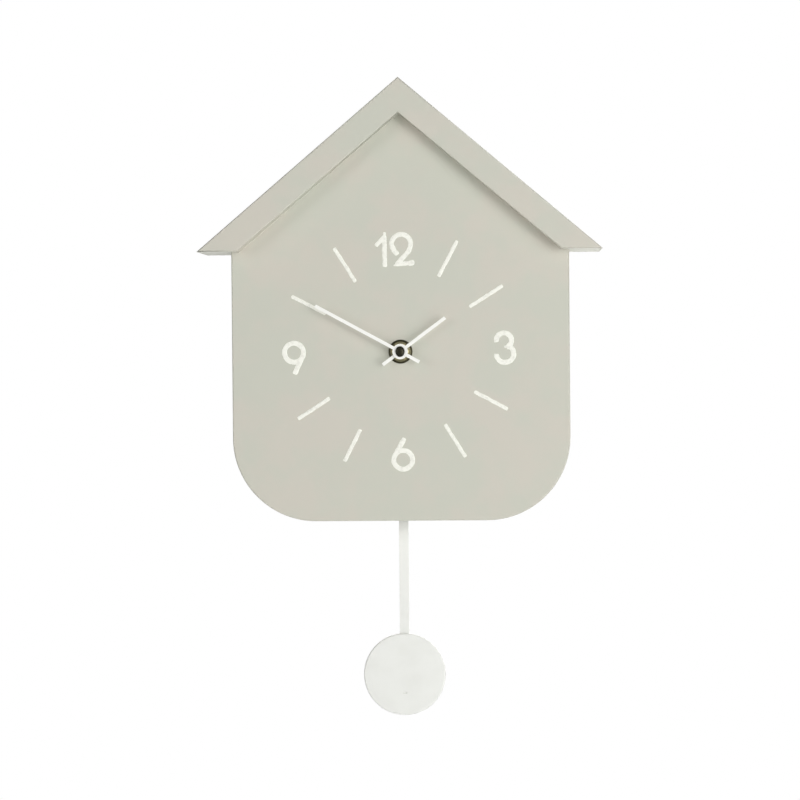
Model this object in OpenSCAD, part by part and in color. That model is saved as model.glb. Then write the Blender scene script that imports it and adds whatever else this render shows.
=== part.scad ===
/* [Case] */
// Width across the side walls
case_w = 211; // [190:1:235]
// Depth from the wall to the front of the face
case_d = 50; // [47:1:70]
// From the middle of the dial down to the underside of the case
dial_above_floor = 105.7; // [95:0.5:130]
// Radius of the bottom corners
corner_r = 52; // [20:1:60]
// Thickness of the sheet steel
sheet_t = 1; // [0.8:0.1:1.5]
// Width of the turned-in flange round the back
back_flange_w = 10; // [6:1:16]

/* [Roof] */
// From the ridge line out to an eave tip
roof_half_w = 126; // [120:1:140]
// Pitch of each slope
roof_pitch = 40.35; // [36:0.05:43]
// How far the roof stands out in front of the face
roof_overhang = 12; // [8:1:25]
// Width of the fascia, square to its slope
fascia_w = 16.5; // [12:0.5:22]
// From the ridge down to the middle of the dial
ridge_above_dial = 170; // [155:1:185]

/* [Wall hanger] */
// From the ridge down to the round entry of the keyhole
ridge_above_keyhole = 45; // [36:1:55]
// Radius of the round entry
keyhole_r = 4.5; // [4:0.1:6]
// Width of the slot above the entry
keyslot_w = 4.4; // [3.5:0.1:5]
// From the middle of the entry up to the end of the slot
keyslot_rise = 10; // [8:0.5:13]
// How far the back gusset reaches below the entry
gusset_drop = 16; // [10:1:24]

/* [Dial] */
// Turn of the whole print, anticlockwise
print_turn = 2; // [0:0.1:4]
// Thickness of the paint film
film_t = 0.25; // [0.15:0.05:0.5]
// Inner end of an hour mark
mark_r0 = 53.5; // [48:0.5:58]
// Outer end of an hour mark
mark_r1 = 76.9; // [70:0.5:82]
// Width of an hour mark
mark_w = 2.5; // [1.5:0.1:4]
// Middle of the 12 and of the 6
numeral_r_upright = 64.2; // [58:0.2:70]
// Middle of the 3 and of the 9
numeral_r_level = 66; // [60:0.2:70]
// Width of a numeral's stroke
numeral_w = 3.2; // [2:0.1:4]

/* [Hands] */
// Middle of the dial to the minute hand's tip
minute_hand_l = 60; // [50:0.5:68]
// Middle of the dial to the hour hand's tip
hour_hand_l = 35; // [28:0.5:45]
// Middle of the dial to the end of a counterweight
hand_tail_l = 13.6; // [10:0.2:18]
// Width of a hand
hand_w = 2.1; // [1.6:0.1:3]
// Thickness of a hand
hand_t = 0.4; // [0.3:0.05:0.6]
// Radius of the ring at a hand's middle
hand_ring_r = 4.8; // [4.2:0.1:5.5]
// Where the minute hand points, clockwise from the ridge
minute_angle = 298.7; // [0:0.1:360]
// Where the hour hand points, clockwise from the ridge
hour_angle = 53.4; // [0:0.1:360]
// Radius of the minute nut
minute_nut_r = 3.15; // [2.4:0.05:3.6]
// Height of the minute nut
minute_nut_h = 2; // [1.6:0.1:3]

/* [Centre fitting] */
// Outer radius of the threaded bush
bush_r = 4; // [3.8:0.1:4.5]
// How far the bush stands out in front of the movement
bush_l = 6; // [5:0.5:9]
// Radius of the dished washer
washer_r = 7.5; // [6.5:0.1:9]
// Thickness of the dished washer
washer_t = 1; // [0.6:0.1:1.5]
// Across the flats of the centre nut
nut_af = 10; // [9.5:0.1:12]
// Height of the centre nut
nut_h = 2.2; // [1.6:0.1:2.8]
// Thickness of the rubber gasket
gasket_t = 1; // [0.5:0.1:2]

/* [Movement] */
// Width of the movement
move_w = 56; // [54:1:62]
// Height of the movement from the dial's middle upward
move_up = 30; // [26:1:36]
// Height of the movement from the dial's middle downward
move_down = 74; // [72:1:84]
// Depth of the movement
move_d = 24; // [24:0.5:27]
// Wall of the movement's case
shell_t = 1.4; // [1:0.1:1.8]
// Thickness of a wheel
gear_t = 1; // [0.6:0.1:1.2]
// From one layer of wheels to the next
layer_step = 1.8; // [1.7:0.05:2]
// Radius of a steel arbor
arbor_r = 0.5; // [0.4:0.05:0.6]
// Play between an arbor and its hole
pivot_play = 0.05; // [0.02:0.01:0.08]

/* [Battery] */
// Radius of the cell
battery_r = 7.1; // [6.9:0.05:7.3]
// Length of the cell without its nub
battery_body_l = 49.2; // [48:0.2:50]
// Radius of the cell's nub
nub_r = 2.75; // [2.2:0.05:3]
// Height of the cell's nub
nub_h = 1; // [0.8:0.1:1.5]
// Top of the battery bay, below the dial's middle
bay_top_drop = 13.6; // [13:0.2:16]
// Thickness of a battery contact
contact_t = 0.4; // [0.3:0.05:0.5]

/* [Pendulum] */
// Pivot above the middle of the dial
pivot_rise = 8; // [7:0.5:12]
// Middle of the dial down to the middle of the bob
bob_drop = 205; // [185:1:230]
// Radius of the bob
bob_r = 26; // [20:0.5:32]
// Depth of the bob's rolled rim
bob_rim_d = 2.6; // [2:0.1:4]
// Width of the rod
rod_w = 6; // [4:0.2:7]
// Thickness of the rod
rod_t = 1; // [0.6:0.1:1.5]
// Width of the slot that the rod swings in
swing_slot_w = 34; // [32:1:44]
// Front to back size of that slot
swing_slot_d = 13; // [10:0.5:18]
// Radius of the leader's magnet
magnet_r = 4.5; // [3.5:0.1:5]
// Radius of the pendulum drive coil
drive_coil_r = 6; // [4.5:0.1:7]

/* [Hidden] */
$fn = 64;

seat_gap = 0.3;
fit_gap = 0.02;
case_paint = [0.78, 0.78, 0.73];
white_paint = [0.95, 0.95, 0.93];
olive_brass = [0.35, 0.32, 0.20];
brass = [0.72, 0.60, 0.32];
steel = [0.75, 0.76, 0.78];
black_plastic = [0.09, 0.09, 0.10];
white_plastic = [0.90, 0.90, 0.88];
board_green = [0.10, 0.35, 0.20];
copper = [0.72, 0.40, 0.18];

// Heights, from the keyhole's round entry
ridge_z = ridge_above_keyhole;
dial_z = ridge_z - ridge_above_dial;
floor_z = dial_z - dial_above_floor;
eave_z = ridge_z - roof_half_w * tan(roof_pitch);

// Depths, from the wall forward
face_y = -case_d;
roof_y = face_y - roof_overhang;
move_y0 = face_y + sheet_t + gasket_t;
move_y1 = move_y0 + move_d;
bush_y = move_y0 - bush_l;
washer_y = face_y - washer_t;
nut_y = washer_y - nut_h;
pipe_y = bush_y - 2;
hour_hand_y = pipe_y + 0.3;
shoulder_y = pipe_y - 1.2;
minute_hand_y = shoulder_y - hand_t;

// Bores up the middle of the movement
minute_stem_r = 1.75;
minute_tip_r = 1.5;
pipe_bore_r = minute_stem_r + pivot_play;
pipe_r = 2.55;
bush_bore_r = pipe_r + pivot_play;

// Layers of wheels, each value the front of its layer
hour_y = move_y0 + shell_t + seat_gap;
motion_y = hour_y + gear_t + 0.4;
centre_y = motion_y + gear_t + 0.5;
third_y = centre_y + layer_step;
fourth_y = third_y + layer_step;
fifth_y = fourth_y + layer_step;
rotor_y = fifth_y + layer_step;
cover_y = move_y1 - shell_t;

// Tooth counts
cannon_teeth = 12;
minute_wheel_teeth = 36;
minute_pinion_teeth = 10;
hour_teeth = 40;
knob_teeth = 12;
pinion_teeth = 8;
centre_teeth = 64;
third_teeth = 60;
fourth_teeth = 40;
fifth_teeth = 48;

// Centre distances and the modules that follow from them
motion_reach = 10;
motion_module = 2 * motion_reach / (cannon_teeth + minute_wheel_teeth);
hour_module = 2 * motion_reach / (minute_pinion_teeth + hour_teeth);
centre_module = 0.35;
train_module = 0.3;
fifth_module = 0.23;
tooth_thinning = 0.05;
pressure_angle = 25;
addendum = 0.75;
dedendum = 1.05;

// Directions from one arbor to the next, anticlockwise from the right
minute_wheel_dir = 150;
knob_dir = 120;
third_dir = 60;
fourth_dir = -20;
fifth_dir = -80;
rotor_dir = -90;

// Places of the arbors, across and up from the middle of the dial
function step_to(from, dir, reach) = from + reach * [cos(dir), sin(dir)];
hub = [0, 0];
minute_wheel_at = step_to(hub, minute_wheel_dir, motion_reach);
knob_reach = motion_module * (minute_wheel_teeth + knob_teeth) / 2;
knob_at = step_to(minute_wheel_at, knob_dir, knob_reach);
third_at = step_to(hub, third_dir, centre_module * (centre_teeth + pinion_teeth) / 2);
fourth_at = step_to(third_at, fourth_dir, train_module * (third_teeth + pinion_teeth) / 2);
fifth_at = step_to(fourth_at, fifth_dir, train_module * (fourth_teeth + pinion_teeth) / 2);
rotor_at = step_to(fifth_at, rotor_dir, fifth_module * (fifth_teeth + pinion_teeth) / 2);
pivot_at = [0, pivot_rise];

// Turn of a driven gear that puts its gap opposite the driver's tooth
function mesh_turn(dir, turn, teeth, next_teeth) =
    dir + 180 + 180 / next_teeth + (dir - turn) * teeth / next_teeth;
minute_wheel_turn = mesh_turn(minute_wheel_dir, 0, cannon_teeth, minute_wheel_teeth);
hour_turn = mesh_turn(minute_wheel_dir + 180, 0, minute_pinion_teeth, hour_teeth);
knob_turn = mesh_turn(knob_dir, minute_wheel_turn, minute_wheel_teeth, knob_teeth);
third_turn = mesh_turn(third_dir, 0, centre_teeth, pinion_teeth);
fourth_turn = mesh_turn(fourth_dir, 0, third_teeth, pinion_teeth);
fifth_turn = mesh_turn(fifth_dir, 0, fourth_teeth, pinion_teeth);
rotor_turn = mesh_turn(rotor_dir, 0, fifth_teeth, pinion_teeth);

// Battery bay
bay_gap = 0.25;
bay_wall = 0.8;
bay_half_w = battery_r + bay_gap;
bay_x = -move_w / 2 + shell_t + 0.2 + bay_wall + bay_half_w;
battery_y = move_y1 - 0.5 - battery_r;
bay_y = battery_y - battery_r - bay_gap - seat_gap;
bay_top = -bay_top_drop;
nub_top = bay_top - contact_t - seat_gap;
battery_top = nub_top - nub_h;
battery_base = battery_top - battery_body_l;
dome_h = 1.2;
bay_bottom = battery_base - seat_gap - dome_h - contact_t;

// Circuit board, in the space beside the bay
board_t = 1;
board_y = cover_y - 5.6;
board_x0 = bay_x + bay_half_w + bay_wall + 0.9;
board_x1 = move_w / 2 - shell_t - 0.8;
board_top = -29;
board_bottom = -move_down + shell_t + 3.2;
tab_lap = 2;
coil_drop = 46;
coil_t = 3.6;

// Stator
stator_y = rotor_y + 1;
rotor_magnet_r = 3;
rotor_magnet_t = 3;
motor_coil_drop = 22.5;
motor_coil_r = 3.6;
stator_post_r = 1.3;
stator_post_reach = 5.5;

// Pendulum
leader_t = 2;
leader_w = 6;
leader_y = move_y1 + 0.6;
leader_eye_r = 4;
leader_l = 74;
rod_y = leader_y + leader_t;
rod_lap = 12;
pivot_r = 1;
hook_r = 1.4;
bob_sheet_t = 1;
bob_slit_drop = 11.6;
bob_slit_w = 2.6;
bob_slit_h = 1.1;
bob_y1 = rod_y;
bob_y0 = bob_y1 - bob_rim_d;
rod_end_drop = bob_drop + bob_slit_drop;
swing_slot_y = rod_y + rod_t / 2;

// A flat shape in the plane of the wall, as a slab from y0 back to y1
module slab(y0, y1) {
    translate([0, y1, 0])
        rotate([90, 0, 0])
            linear_extrude(height = y1 - y0)
                children();
}

// The same, placed from the middle of the dial
module dial_slab(y0, y1, at = [0, 0]) {
    translate([at.x, 0, dial_z + at.y])
        slab(y0, y1)
            children();
}

// A round bar along the depth, from y0 back to y1
module bar(at, r, y0, y1) {
    translate([at.x, y1, dial_z + at.y])
        rotate([90, 0, 0])
            cylinder(r = r, h = y1 - y0);
}

// A bar with a bore right through it
module tube(at, r, bore, y0, y1) {
    difference() {
        bar(at, r, y0, y1);
        bar(at, bore, y0 - 1, y1 + 1);
    }
}

// A block given by its limits across, in depth and in height
module block(x, y, z) {
    translate([x[0], y[0], dial_z + z[0]])
        cube([x[1] - x[0], y[1] - y[0], z[1] - z[0]]);
}

// Height of a slope at the middle, drawn in by an inset square to it
function slope_top(inset) = ridge_z - inset / cos(roof_pitch);

// How far out a slope, drawn in by an inset, meets a level
function slope_reach(inset, z) = (slope_top(inset) - z) / tan(roof_pitch);

// The triangle under both slopes, down to a level
module gable(inset, z) {
    polygon([
        [0, slope_top(inset)],
        [slope_reach(inset, z), z],
        [-slope_reach(inset, z), z]
    ]);
}

// The band between two insets of the slopes, cut level at the eaves
module roof_band(inset0, inset1) {
    difference() {
        gable(inset0, eave_z);
        gable(inset1, eave_z - fascia_w);
    }
}

// The case below the eaves, with round bottom corners, drawn in by an inset
module box_outline(inset, top) {
    half = case_w / 2 - inset;
    base = floor_z + inset;
    r = corner_r - inset;
    for (side = [-1, 1])
        translate([side * (half - r), base + r])
            circle(r = r);
    translate([-half, base + r])
        square([2 * half, top - base - r]);
    translate([-half + r, base])
        square([2 * (half - r), r]);
}

// The room inside the walls and under the roof sheet, drawn in by an inset
module room_outline(inset) {
    intersection() {
        box_outline(inset, ridge_z);
        gable(sheet_t + inset, floor_z - 1);
    }
}

// The whole house shape under the roof sheet, out to the eave tips
module house_outline() {
    room_outline(0);
    gable(sheet_t, eave_z + sheet_t);
}

module face_panel() {
    color(case_paint)
        difference() {
            slab(face_y, face_y + sheet_t)
                house_outline();
            bar(hub, bush_r + 0.2, face_y - 1, face_y + sheet_t + 1);
        }
}

module side_band() {
    color(case_paint)
        difference() {
            slab(face_y + sheet_t, -sheet_t)
                difference() {
                    box_outline(0, eave_z + sheet_t);
                    box_outline(sheet_t, eave_z + 2 * sheet_t);
                }
            translate([-swing_slot_w / 2, swing_slot_y - swing_slot_d / 2, floor_z - 1])
                cube([swing_slot_w, swing_slot_d, sheet_t + 2]);
        }
}

module keyhole() {
    bore_depth = sheet_t + 2;
    translate([0, 1, 0])
        rotate([90, 0, 0])
            cylinder(r = keyhole_r, h = bore_depth);
    translate([0, 1, keyslot_rise - keyslot_w / 2])
        rotate([90, 0, 0])
            cylinder(r = keyslot_w / 2, h = bore_depth);
    translate([-keyslot_w / 2, 1 - bore_depth, 0])
        cube([keyslot_w, bore_depth, keyslot_rise - keyslot_w / 2]);
}

module back_frame() {
    color(case_paint)
        difference() {
            slab(-sheet_t, 0)
                difference() {
                    house_outline();
                    intersection() {
                        room_outline(back_flange_w);
                        translate([-case_w, floor_z])
                            square([2 * case_w, -gusset_drop - floor_z]);
                    }
                }
            keyhole();
        }
}

module roof_sheet() {
    color(case_paint)
        slab(roof_y + sheet_t, 0)
            roof_band(0, sheet_t);
}

module roof_fascia() {
    color(case_paint) {
        slab(roof_y, roof_y + sheet_t)
            roof_band(0, fascia_w);
        slab(roof_y + sheet_t, face_y)
            roof_band(fascia_w - sheet_t, fascia_w);
    }
}

// The level strip that closes one eave, with its step round the face
module eave_plate(side) {
    for (part = [
        [roof_y + sheet_t, face_y, slope_reach(fascia_w - sheet_t, eave_z)],
        [face_y, 0, case_w / 2]
    ])
        slab(part[0], part[1])
            polygon([
                [side * part[2], eave_z],
                [side * slope_reach(sheet_t, eave_z), eave_z],
                [side * slope_reach(sheet_t, eave_z + sheet_t), eave_z + sheet_t],
                [side * part[2], eave_z + sheet_t]
            ]);
}

module eave_plate_left() {
    color(case_paint)
        eave_plate(-1);
}

module eave_plate_right() {
    color(case_paint)
        eave_plate(1);
}

// The painted print, in dial coordinates, turned as one
module printed() {
    color(white_paint)
        translate([0, 0, dial_z])
            slab(face_y - film_t, face_y)
                rotate(print_turn)
                    children();
}

// A straight brush stroke with round ends
module stroke(p, q, w) {
    run = norm(q - p);
    translate(p)
        rotate(atan2(q.y - p.y, q.x - p.x)) {
            translate([0, -w / 2])
                square([run, w]);
            circle(d = w);
            translate([run, 0])
                circle(d = w);
        }
}

// A curved brush stroke, anticlockwise from one angle to the other, its ends round and a
// little narrower than the stroke
module arc_stroke(middle, r, w, from, to) {
    reach = 2 * (r + w);
    end_w = 0.98 * w;
    spokes = 8;
    translate(middle) {
        intersection() {
            difference() {
                circle(r = r + w / 2);
                circle(r = r - w / 2);
            }
            polygon(concat([[0, 0]], [
                for (i = [0:spokes])
                    reach * [cos(from + (to - from) * i / spokes), sin(from + (to - from) * i / spokes)]
            ]));
        }
        for (a = [from, to])
            translate(r * [cos(a), sin(a)])
                circle(d = end_w);
    }
}

module ring(middle, r, w) {
    translate(middle)
        difference() {
            circle(r = r + w / 2);
            circle(r = r - w / 2);
        }
}

module numeral_12() {
    printed()
        translate([0, numeral_r_upright]) {
            stroke([-5.9, -9.4], [-5.9, 9.3], 2.9);
            stroke([-6, 9.3], [-10.8, 2.9], 2.7);
            arc_stroke([4.6, 3.7], 6.05, numeral_w, -25, 215);
            stroke([-0.35, 0.25], [2.3, -2.4], numeral_w);
            stroke([10.1, 1.2], [9.4, -0.7], numeral_w);
            stroke([9.4, -0.7], [1.6, -8.5], numeral_w);
            stroke([0.9, -8.7], [11.2, -8.5], numeral_w);
        }
}

module numeral_3() {
    printed()
        translate([numeral_r_level, 0]) {
            arc_stroke([-0.05, 4.1], 4.7, 3.6, -55, 188);
            arc_stroke([0.6, -4.4], 5.3, 3.4, -190, 60);
            stroke([1.3, 0], [3.2, 0], 2);
        }
}

module numeral_6() {
    printed()
        translate([0, -numeral_r_upright]) {
            ring([0.2, -3.1], 6, numeral_w);
            stroke([0.2, 9], [-4.9, 0.2], numeral_w);
        }
}

module numeral_9() {
    printed()
        translate([-numeral_r_level, 0]) {
            ring([0.6, 2.7], 6, numeral_w);
            stroke([5.7, -0.6], [0.9, -9.2], numeral_w);
        }
}

module hour_marks() {
    printed()
        for (hour = [1, 2, 4, 5, 7, 8, 10, 11])
            let(dir = 90 - 30 * hour)
                stroke(
                    (mark_r0 + mark_w / 2) * [cos(dir), sin(dir)],
                    (mark_r1 - mark_w / 2) * [cos(dir), sin(dir)],
                    mark_w
                );
}

// How much an involute opens between its base circle and a radius, in degrees
function involute_turn(base_r, r) =
    let(a = acos(min(1, base_r / r)))
    tan(a) * 180 / PI - a;

// Outline of a spur gear with a tooth on the right-hand axis
module gear(teeth, mod, flank_steps = 1) {
    pitch_r = mod * teeth / 2;
    base_r = pitch_r * cos(pressure_angle);
    root_r = pitch_r - dedendum * mod;
    tip_r = pitch_r + addendum * mod;
    half_tooth = 90 / teeth - tooth_thinning / 2 / pitch_r * 180 / PI;
    start_r = max(base_r, root_r);
    radii = concat([root_r], [
        for (i = [0:flank_steps])
            start_r + (tip_r - start_r) * i / flank_steps
    ]);
    half_at = [
        for (r = radii)
            half_tooth + involute_turn(base_r, pitch_r) - involute_turn(base_r, max(r, base_r))
    ];
    last = len(radii) - 1;
    first = root_r < start_r ? 0 : 1;
    tooth = concat(
        [for (k = [first:last]) [radii[k], -half_at[k]]],
        [for (k = [last:-1:first]) [radii[k], half_at[k]]]
    );
    polygon([
        for (t = [0:teeth - 1])
            for (p = tooth)
                p[0] * [cos(360 * t / teeth + p[1]), sin(360 * t / teeth + p[1])]
    ]);
}

// A gear in its layer, with a bore up its middle where one is given
module wheel(at, teeth, mod, turn, y, thick, bore = 0, flank_steps = 1) {
    difference() {
        dial_slab(y, y + thick, at)
            rotate(turn)
                gear(teeth, mod, flank_steps);
        if (bore > 0)
            bar(at, bore, y - 1, y + thick + 1);
    }
}

module pinion(at, teeth, mod, turn, y, thick, bore = 0) {
    wheel(at, teeth, mod, turn, y, thick, bore, 3);
}

module gasket() {
    color(black_plastic)
        tube(hub, 10, bush_r + fit_gap, face_y + sheet_t, move_y0);
}

// Bearings of the running train: each place, the front and the back of its arbor
pivots = [
    [third_at, centre_y, third_y + gear_t],
    [fourth_at, third_y, fourth_y + gear_t],
    [fifth_at, fourth_y, fifth_y + gear_t],
    [rotor_at, fifth_y, rotor_y + rotor_magnet_t]
];
pivot_l = 1.2;
boss_r = 1.2;
stud_r = 0.8;

module movement_box(y0, y1, inset) {
    block(
        [-move_w / 2 + inset, move_w / 2 - inset], [y0, y1], [-move_down + inset, move_up - inset]
    );
}

module movement_case() {
    inner_y = move_y0 + shell_t;
    color(black_plastic) {
        difference() {
            union() {
                difference() {
                    movement_box(move_y0, cover_y, 0);
                    movement_box(inner_y, cover_y + 1, shell_t);
                }
                bar(hub, bush_r, bush_y, move_y0 + 0.1);
                for (p = pivots)
                    bar(p[0], boss_r, inner_y - 0.1, p[1] - seat_gap);
                bar(knob_at, boss_r + 0.6, inner_y - 0.1, motion_y - seat_gap);
                for (x = [board_x0 + 3, board_x1 - 3], z = [board_top - 3, board_bottom + 3])
                    bar([x, z], 2, inner_y - 0.1, board_y);
                for (side = [-1, 1])
                    bar(
                        [rotor_at.x + side * stator_post_reach, rotor_at.y],
                        stator_post_r, inner_y - 0.1, stator_y
                    );
            }
            bar(hub, bush_bore_r, bush_y - 1, inner_y + 1);
            for (p = pivots)
                bar(p[0], arbor_r + pivot_play, p[1] - seat_gap - pivot_l, p[1] + 1);
            bar(knob_at, 0.8 + pivot_play, motion_y - seat_gap - pivot_l, motion_y + 1);
        }
        bar(minute_wheel_at, stud_r, inner_y - 0.1, motion_y + gear_t + 0.2);
    }
}

module movement_cover() {
    bay_x0 = bay_x - bay_half_w;
    bay_x1 = bay_x + bay_half_w;
    notch_y = [board_y - 3.2, board_y + 0.8];
    color(black_plastic)
        difference() {
            union() {
                movement_box(cover_y, move_y1, 0);
                block(
                    [bay_x0 - bay_wall, bay_x1 + bay_wall], [bay_y - bay_wall, cover_y + 0.1],
                    [bay_bottom - bay_wall, bay_top + bay_wall]
                );
                for (p = pivots)
                    bar(p[0], boss_r, p[2] + seat_gap, cover_y + 0.1);
                bar(hub, boss_r + 0.8, centre_y + gear_t + 0.6, cover_y + 0.1);
                bar(pivot_at, 3, move_y1 - 0.1, leader_y - seat_gap);
            }
            block([bay_x0, bay_x1], [bay_y, move_y1 + 1], [bay_bottom, bay_top]);
            for (z = [bay_top - contact_t / 2, bay_bottom + contact_t / 2])
                block([bay_x1 - 1, bay_x1 + bay_wall + 1], notch_y, [z - 0.35, z + 0.35]);
            for (p = pivots)
                bar(p[0], arbor_r + pivot_play, p[2], p[2] + seat_gap + pivot_l);
            bar(hub, 1 + pivot_play, centre_y + gear_t, centre_y + gear_t + 0.6 + 2 * pivot_l);
            bar(knob_at, 1.25 + pivot_play, cover_y - 1, move_y1 + 1);
            bar(pivot_at, pivot_r + fit_gap, cover_y - 1, leader_y);
        }
}

// Dished so that its flank turns away from the front
module washer() {
    color(olive_brass)
        translate([0, face_y, dial_z])
            rotate([90, 0, 0])
                rotate_extrude()
                    polygon([
                        [bush_r + fit_gap, 0],
                        [washer_r, 0],
                        [washer_r, washer_t * 0.3],
                        [washer_r - 1.3, washer_t],
                        [bush_r + fit_gap, washer_t]
                    ]);
}

module centre_nut() {
    color(brass)
        difference() {
            dial_slab(nut_y, washer_y)
                circle(d = nut_af / cos(30), $fn = 6);
            bar(hub, bush_r + fit_gap, nut_y - 1, washer_y + 1);
        }
}

module circuit_board() {
    color(board_green)
        difference() {
            block([board_x0, board_x1], [board_y, board_y + board_t], [board_bottom, board_top]);
            bar([board_x1 - 4, board_bottom + 12], 1.2, board_y - 1, board_y + board_t + 1);
        }
}

module quartz_crystal() {
    color(steel)
        translate([14, board_y + board_t + 1, dial_z - 37]) {
            cylinder(r = 1, h = 6);
            for (side = [-0.5, 0.5])
                translate([side, 0, -2])
                    cylinder(r = 0.15, h = 2);
        }
}

module chip() {
    color(black_plastic)
        bar([15, -48], 3.5, board_y + board_t, board_y + board_t + 1.2);
}

module stator() {
    x0 = rotor_at.x - 9;
    x1 = rotor_at.x + 8;
    top = rotor_at.y + 5.2;
    leg_z = rotor_at.y - 5.8;
    foot_z = -motor_coil_drop - 1.5;
    color(steel)
        difference() {
            block([x0, x1], [stator_y, stator_y + 1], [foot_z, top]);
            block(
                [x0 + 3, x1 - 3], [stator_y - 1, stator_y + 2],
                [foot_z + 3, leg_z]
            );
            bar(rotor_at, rotor_magnet_r + 0.5, stator_y - 1, stator_y + 2);
        }
}

module motor_coil() {
    x0 = rotor_at.x - 9 + 3 + fit_gap;
    x1 = rotor_at.x + 8 - 3 - fit_gap;
    middle = [0, stator_y + 0.5, dial_z - motor_coil_drop];
    color(copper)
        difference() {
            translate(middle)
                rotate([0, 90, 0]) {
                    translate([0, 0, x0 + 0.8])
                        cylinder(r = motor_coil_r, h = x1 - x0 - 1.6);
                    for (x = [x0, x1 - 0.8])
                        translate([0, 0, x])
                            cylinder(r = motor_coil_r + 0.5, h = 0.8);
                }
            block(
                [x0 - 1, x1 + 1], [stator_y - fit_gap, stator_y + 1 + fit_gap],
                [-motor_coil_drop - 1.5 - fit_gap, -motor_coil_drop + 1.5 + fit_gap]
            );
        }
}

// A strip at one end of the bay, with a tab out to the board
module contact_strip(z0, z1) {
    strip_y = [battery_y - 4, battery_y + 4];
    block([bay_x - 5, bay_x + bay_half_w - 0.2], strip_y, [z0, z1]);
    block(
        [bay_x + bay_half_w - 0.4, board_x0], [board_y - 2.6, board_y + 0.4], [z0, z1]
    );
}

module plus_contact() {
    color(steel) {
        contact_strip(bay_top - contact_t, bay_top);
        block(
            [board_x0 - contact_t, board_x0], [board_y - 2.6, board_y + 0.4],
            [board_top - tab_lap, bay_top - contact_t]
        );
    }
}

module minus_contact() {
    color(steel) {
        contact_strip(bay_bottom, bay_bottom + contact_t);
        translate([bay_x, battery_y, dial_z + bay_bottom + contact_t])
            cylinder(r = 3, h = dome_h);
        block(
            [board_x0 - contact_t, board_x0], [board_y - 2.6, board_y + 0.4],
            [bay_bottom, board_bottom + 3 + tab_lap]
        );
    }
}

module pendulum_coil() {
    color(copper)
        tube([0, -coil_drop], drive_coil_r, 2, board_y + board_t, board_y + board_t + coil_t);
}

module pivot_pin() {
    head_y = rod_y + seat_gap;
    color(steel) {
        bar(pivot_at, pivot_r, cover_y, head_y + 0.1);
        bar(pivot_at, pivot_r + 1.2, head_y, head_y + 0.8);
    }
}

module battery() {
    color("goldenrod")
        translate([bay_x, battery_y, dial_z + battery_base])
            rotate_extrude()
                polygon([
                    [0, 0],
                    [battery_r - 0.8, 0],
                    [battery_r, 0.6],
                    [battery_r, battery_body_l - 0.8],
                    [battery_r - 0.8, battery_body_l],
                    [nub_r, battery_body_l],
                    [nub_r, battery_body_l + nub_h],
                    [0, battery_body_l + nub_h]
                ]);
}

// A steel arbor of the running train, its ends in the two bosses
module arbor(p) {
    bar(p[0], arbor_r, p[1] - seat_gap - pivot_l + 0.1, p[2] + seat_gap + pivot_l - 0.1);
}

module rotor() {
    color(white_plastic) {
        pinion(rotor_at, pinion_teeth, fifth_module, rotor_turn, fifth_y, layer_step + 0.1);
        bar(rotor_at, rotor_magnet_r, rotor_y, rotor_y + rotor_magnet_t);
        arbor(pivots[3]);
    }
}

module fifth_wheel() {
    color(white_plastic) {
        wheel(fifth_at, fifth_teeth, fifth_module, 0, fifth_y, gear_t);
        pinion(fifth_at, pinion_teeth, train_module, fifth_turn, fourth_y, layer_step + 0.1);
        arbor(pivots[2]);
    }
}

module fourth_wheel() {
    color(white_plastic) {
        wheel(fourth_at, fourth_teeth, train_module, 0, fourth_y, gear_t);
        pinion(fourth_at, pinion_teeth, train_module, fourth_turn, third_y, layer_step + 0.1);
        arbor(pivots[1]);
    }
}

module third_wheel() {
    color(white_plastic) {
        wheel(third_at, third_teeth, train_module, 0, third_y, gear_t);
        pinion(third_at, pinion_teeth, centre_module, third_turn, centre_y, layer_step + 0.1);
        arbor(pivots[0]);
    }
}

module centre_wheel() {
    color(white_plastic)
        wheel(hub, centre_teeth, centre_module, 0, centre_y, gear_t, 1.2 + pivot_play);
}

// Stem, cannon pinion and the seat that carries the driven wheel
module minute_arbor() {
    color(brass) {
        bar(hub, minute_tip_r, minute_hand_y - minute_nut_h + 0.4, shoulder_y + 0.1);
        bar(hub, minute_stem_r, shoulder_y, motion_y + 0.1);
        pinion(hub, cannon_teeth, motion_module, 0, motion_y, gear_t + 0.1);
        bar(hub, 1.9, motion_y + gear_t, centre_y - fit_gap);
        bar(hub, 1.2, centre_y - fit_gap - 0.1, centre_y + gear_t + 0.3);
        bar(hub, 1, centre_y + gear_t, centre_y + gear_t + 0.6 + 2 * pivot_l - 0.3);
    }
}

module clutch_spring() {
    color(steel)
        tube(
            hub, 2.8, 1.2 + fit_gap,
            centre_y + gear_t + fit_gap, centre_y + gear_t + 0.3
        );
}

// A stick hand that points along +Y before it is turned
module hand_shape(length) {
    circle(r = hand_ring_r);
    translate([-hand_w / 2, -hand_tail_l])
        square([hand_w, hand_tail_l + length]);
}

module minute_hand() {
    color(white_paint)
        difference() {
            dial_slab(minute_hand_y, shoulder_y)
                rotate(-minute_angle)
                    hand_shape(minute_hand_l);
            bar(hub, minute_tip_r + fit_gap, minute_hand_y - 1, shoulder_y + 1);
        }
}

module hour_hand() {
    color(white_paint)
        difference() {
            union() {
                dial_slab(hour_hand_y, hour_hand_y + hand_t)
                    rotate(-hour_angle)
                        hand_shape(hour_hand_l);
                bar(hub, pipe_r + 0.9, hour_hand_y, bush_y - seat_gap);
            }
            bar(hub, pipe_r + fit_gap, hour_hand_y - 1, bush_y);
        }
}

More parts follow.
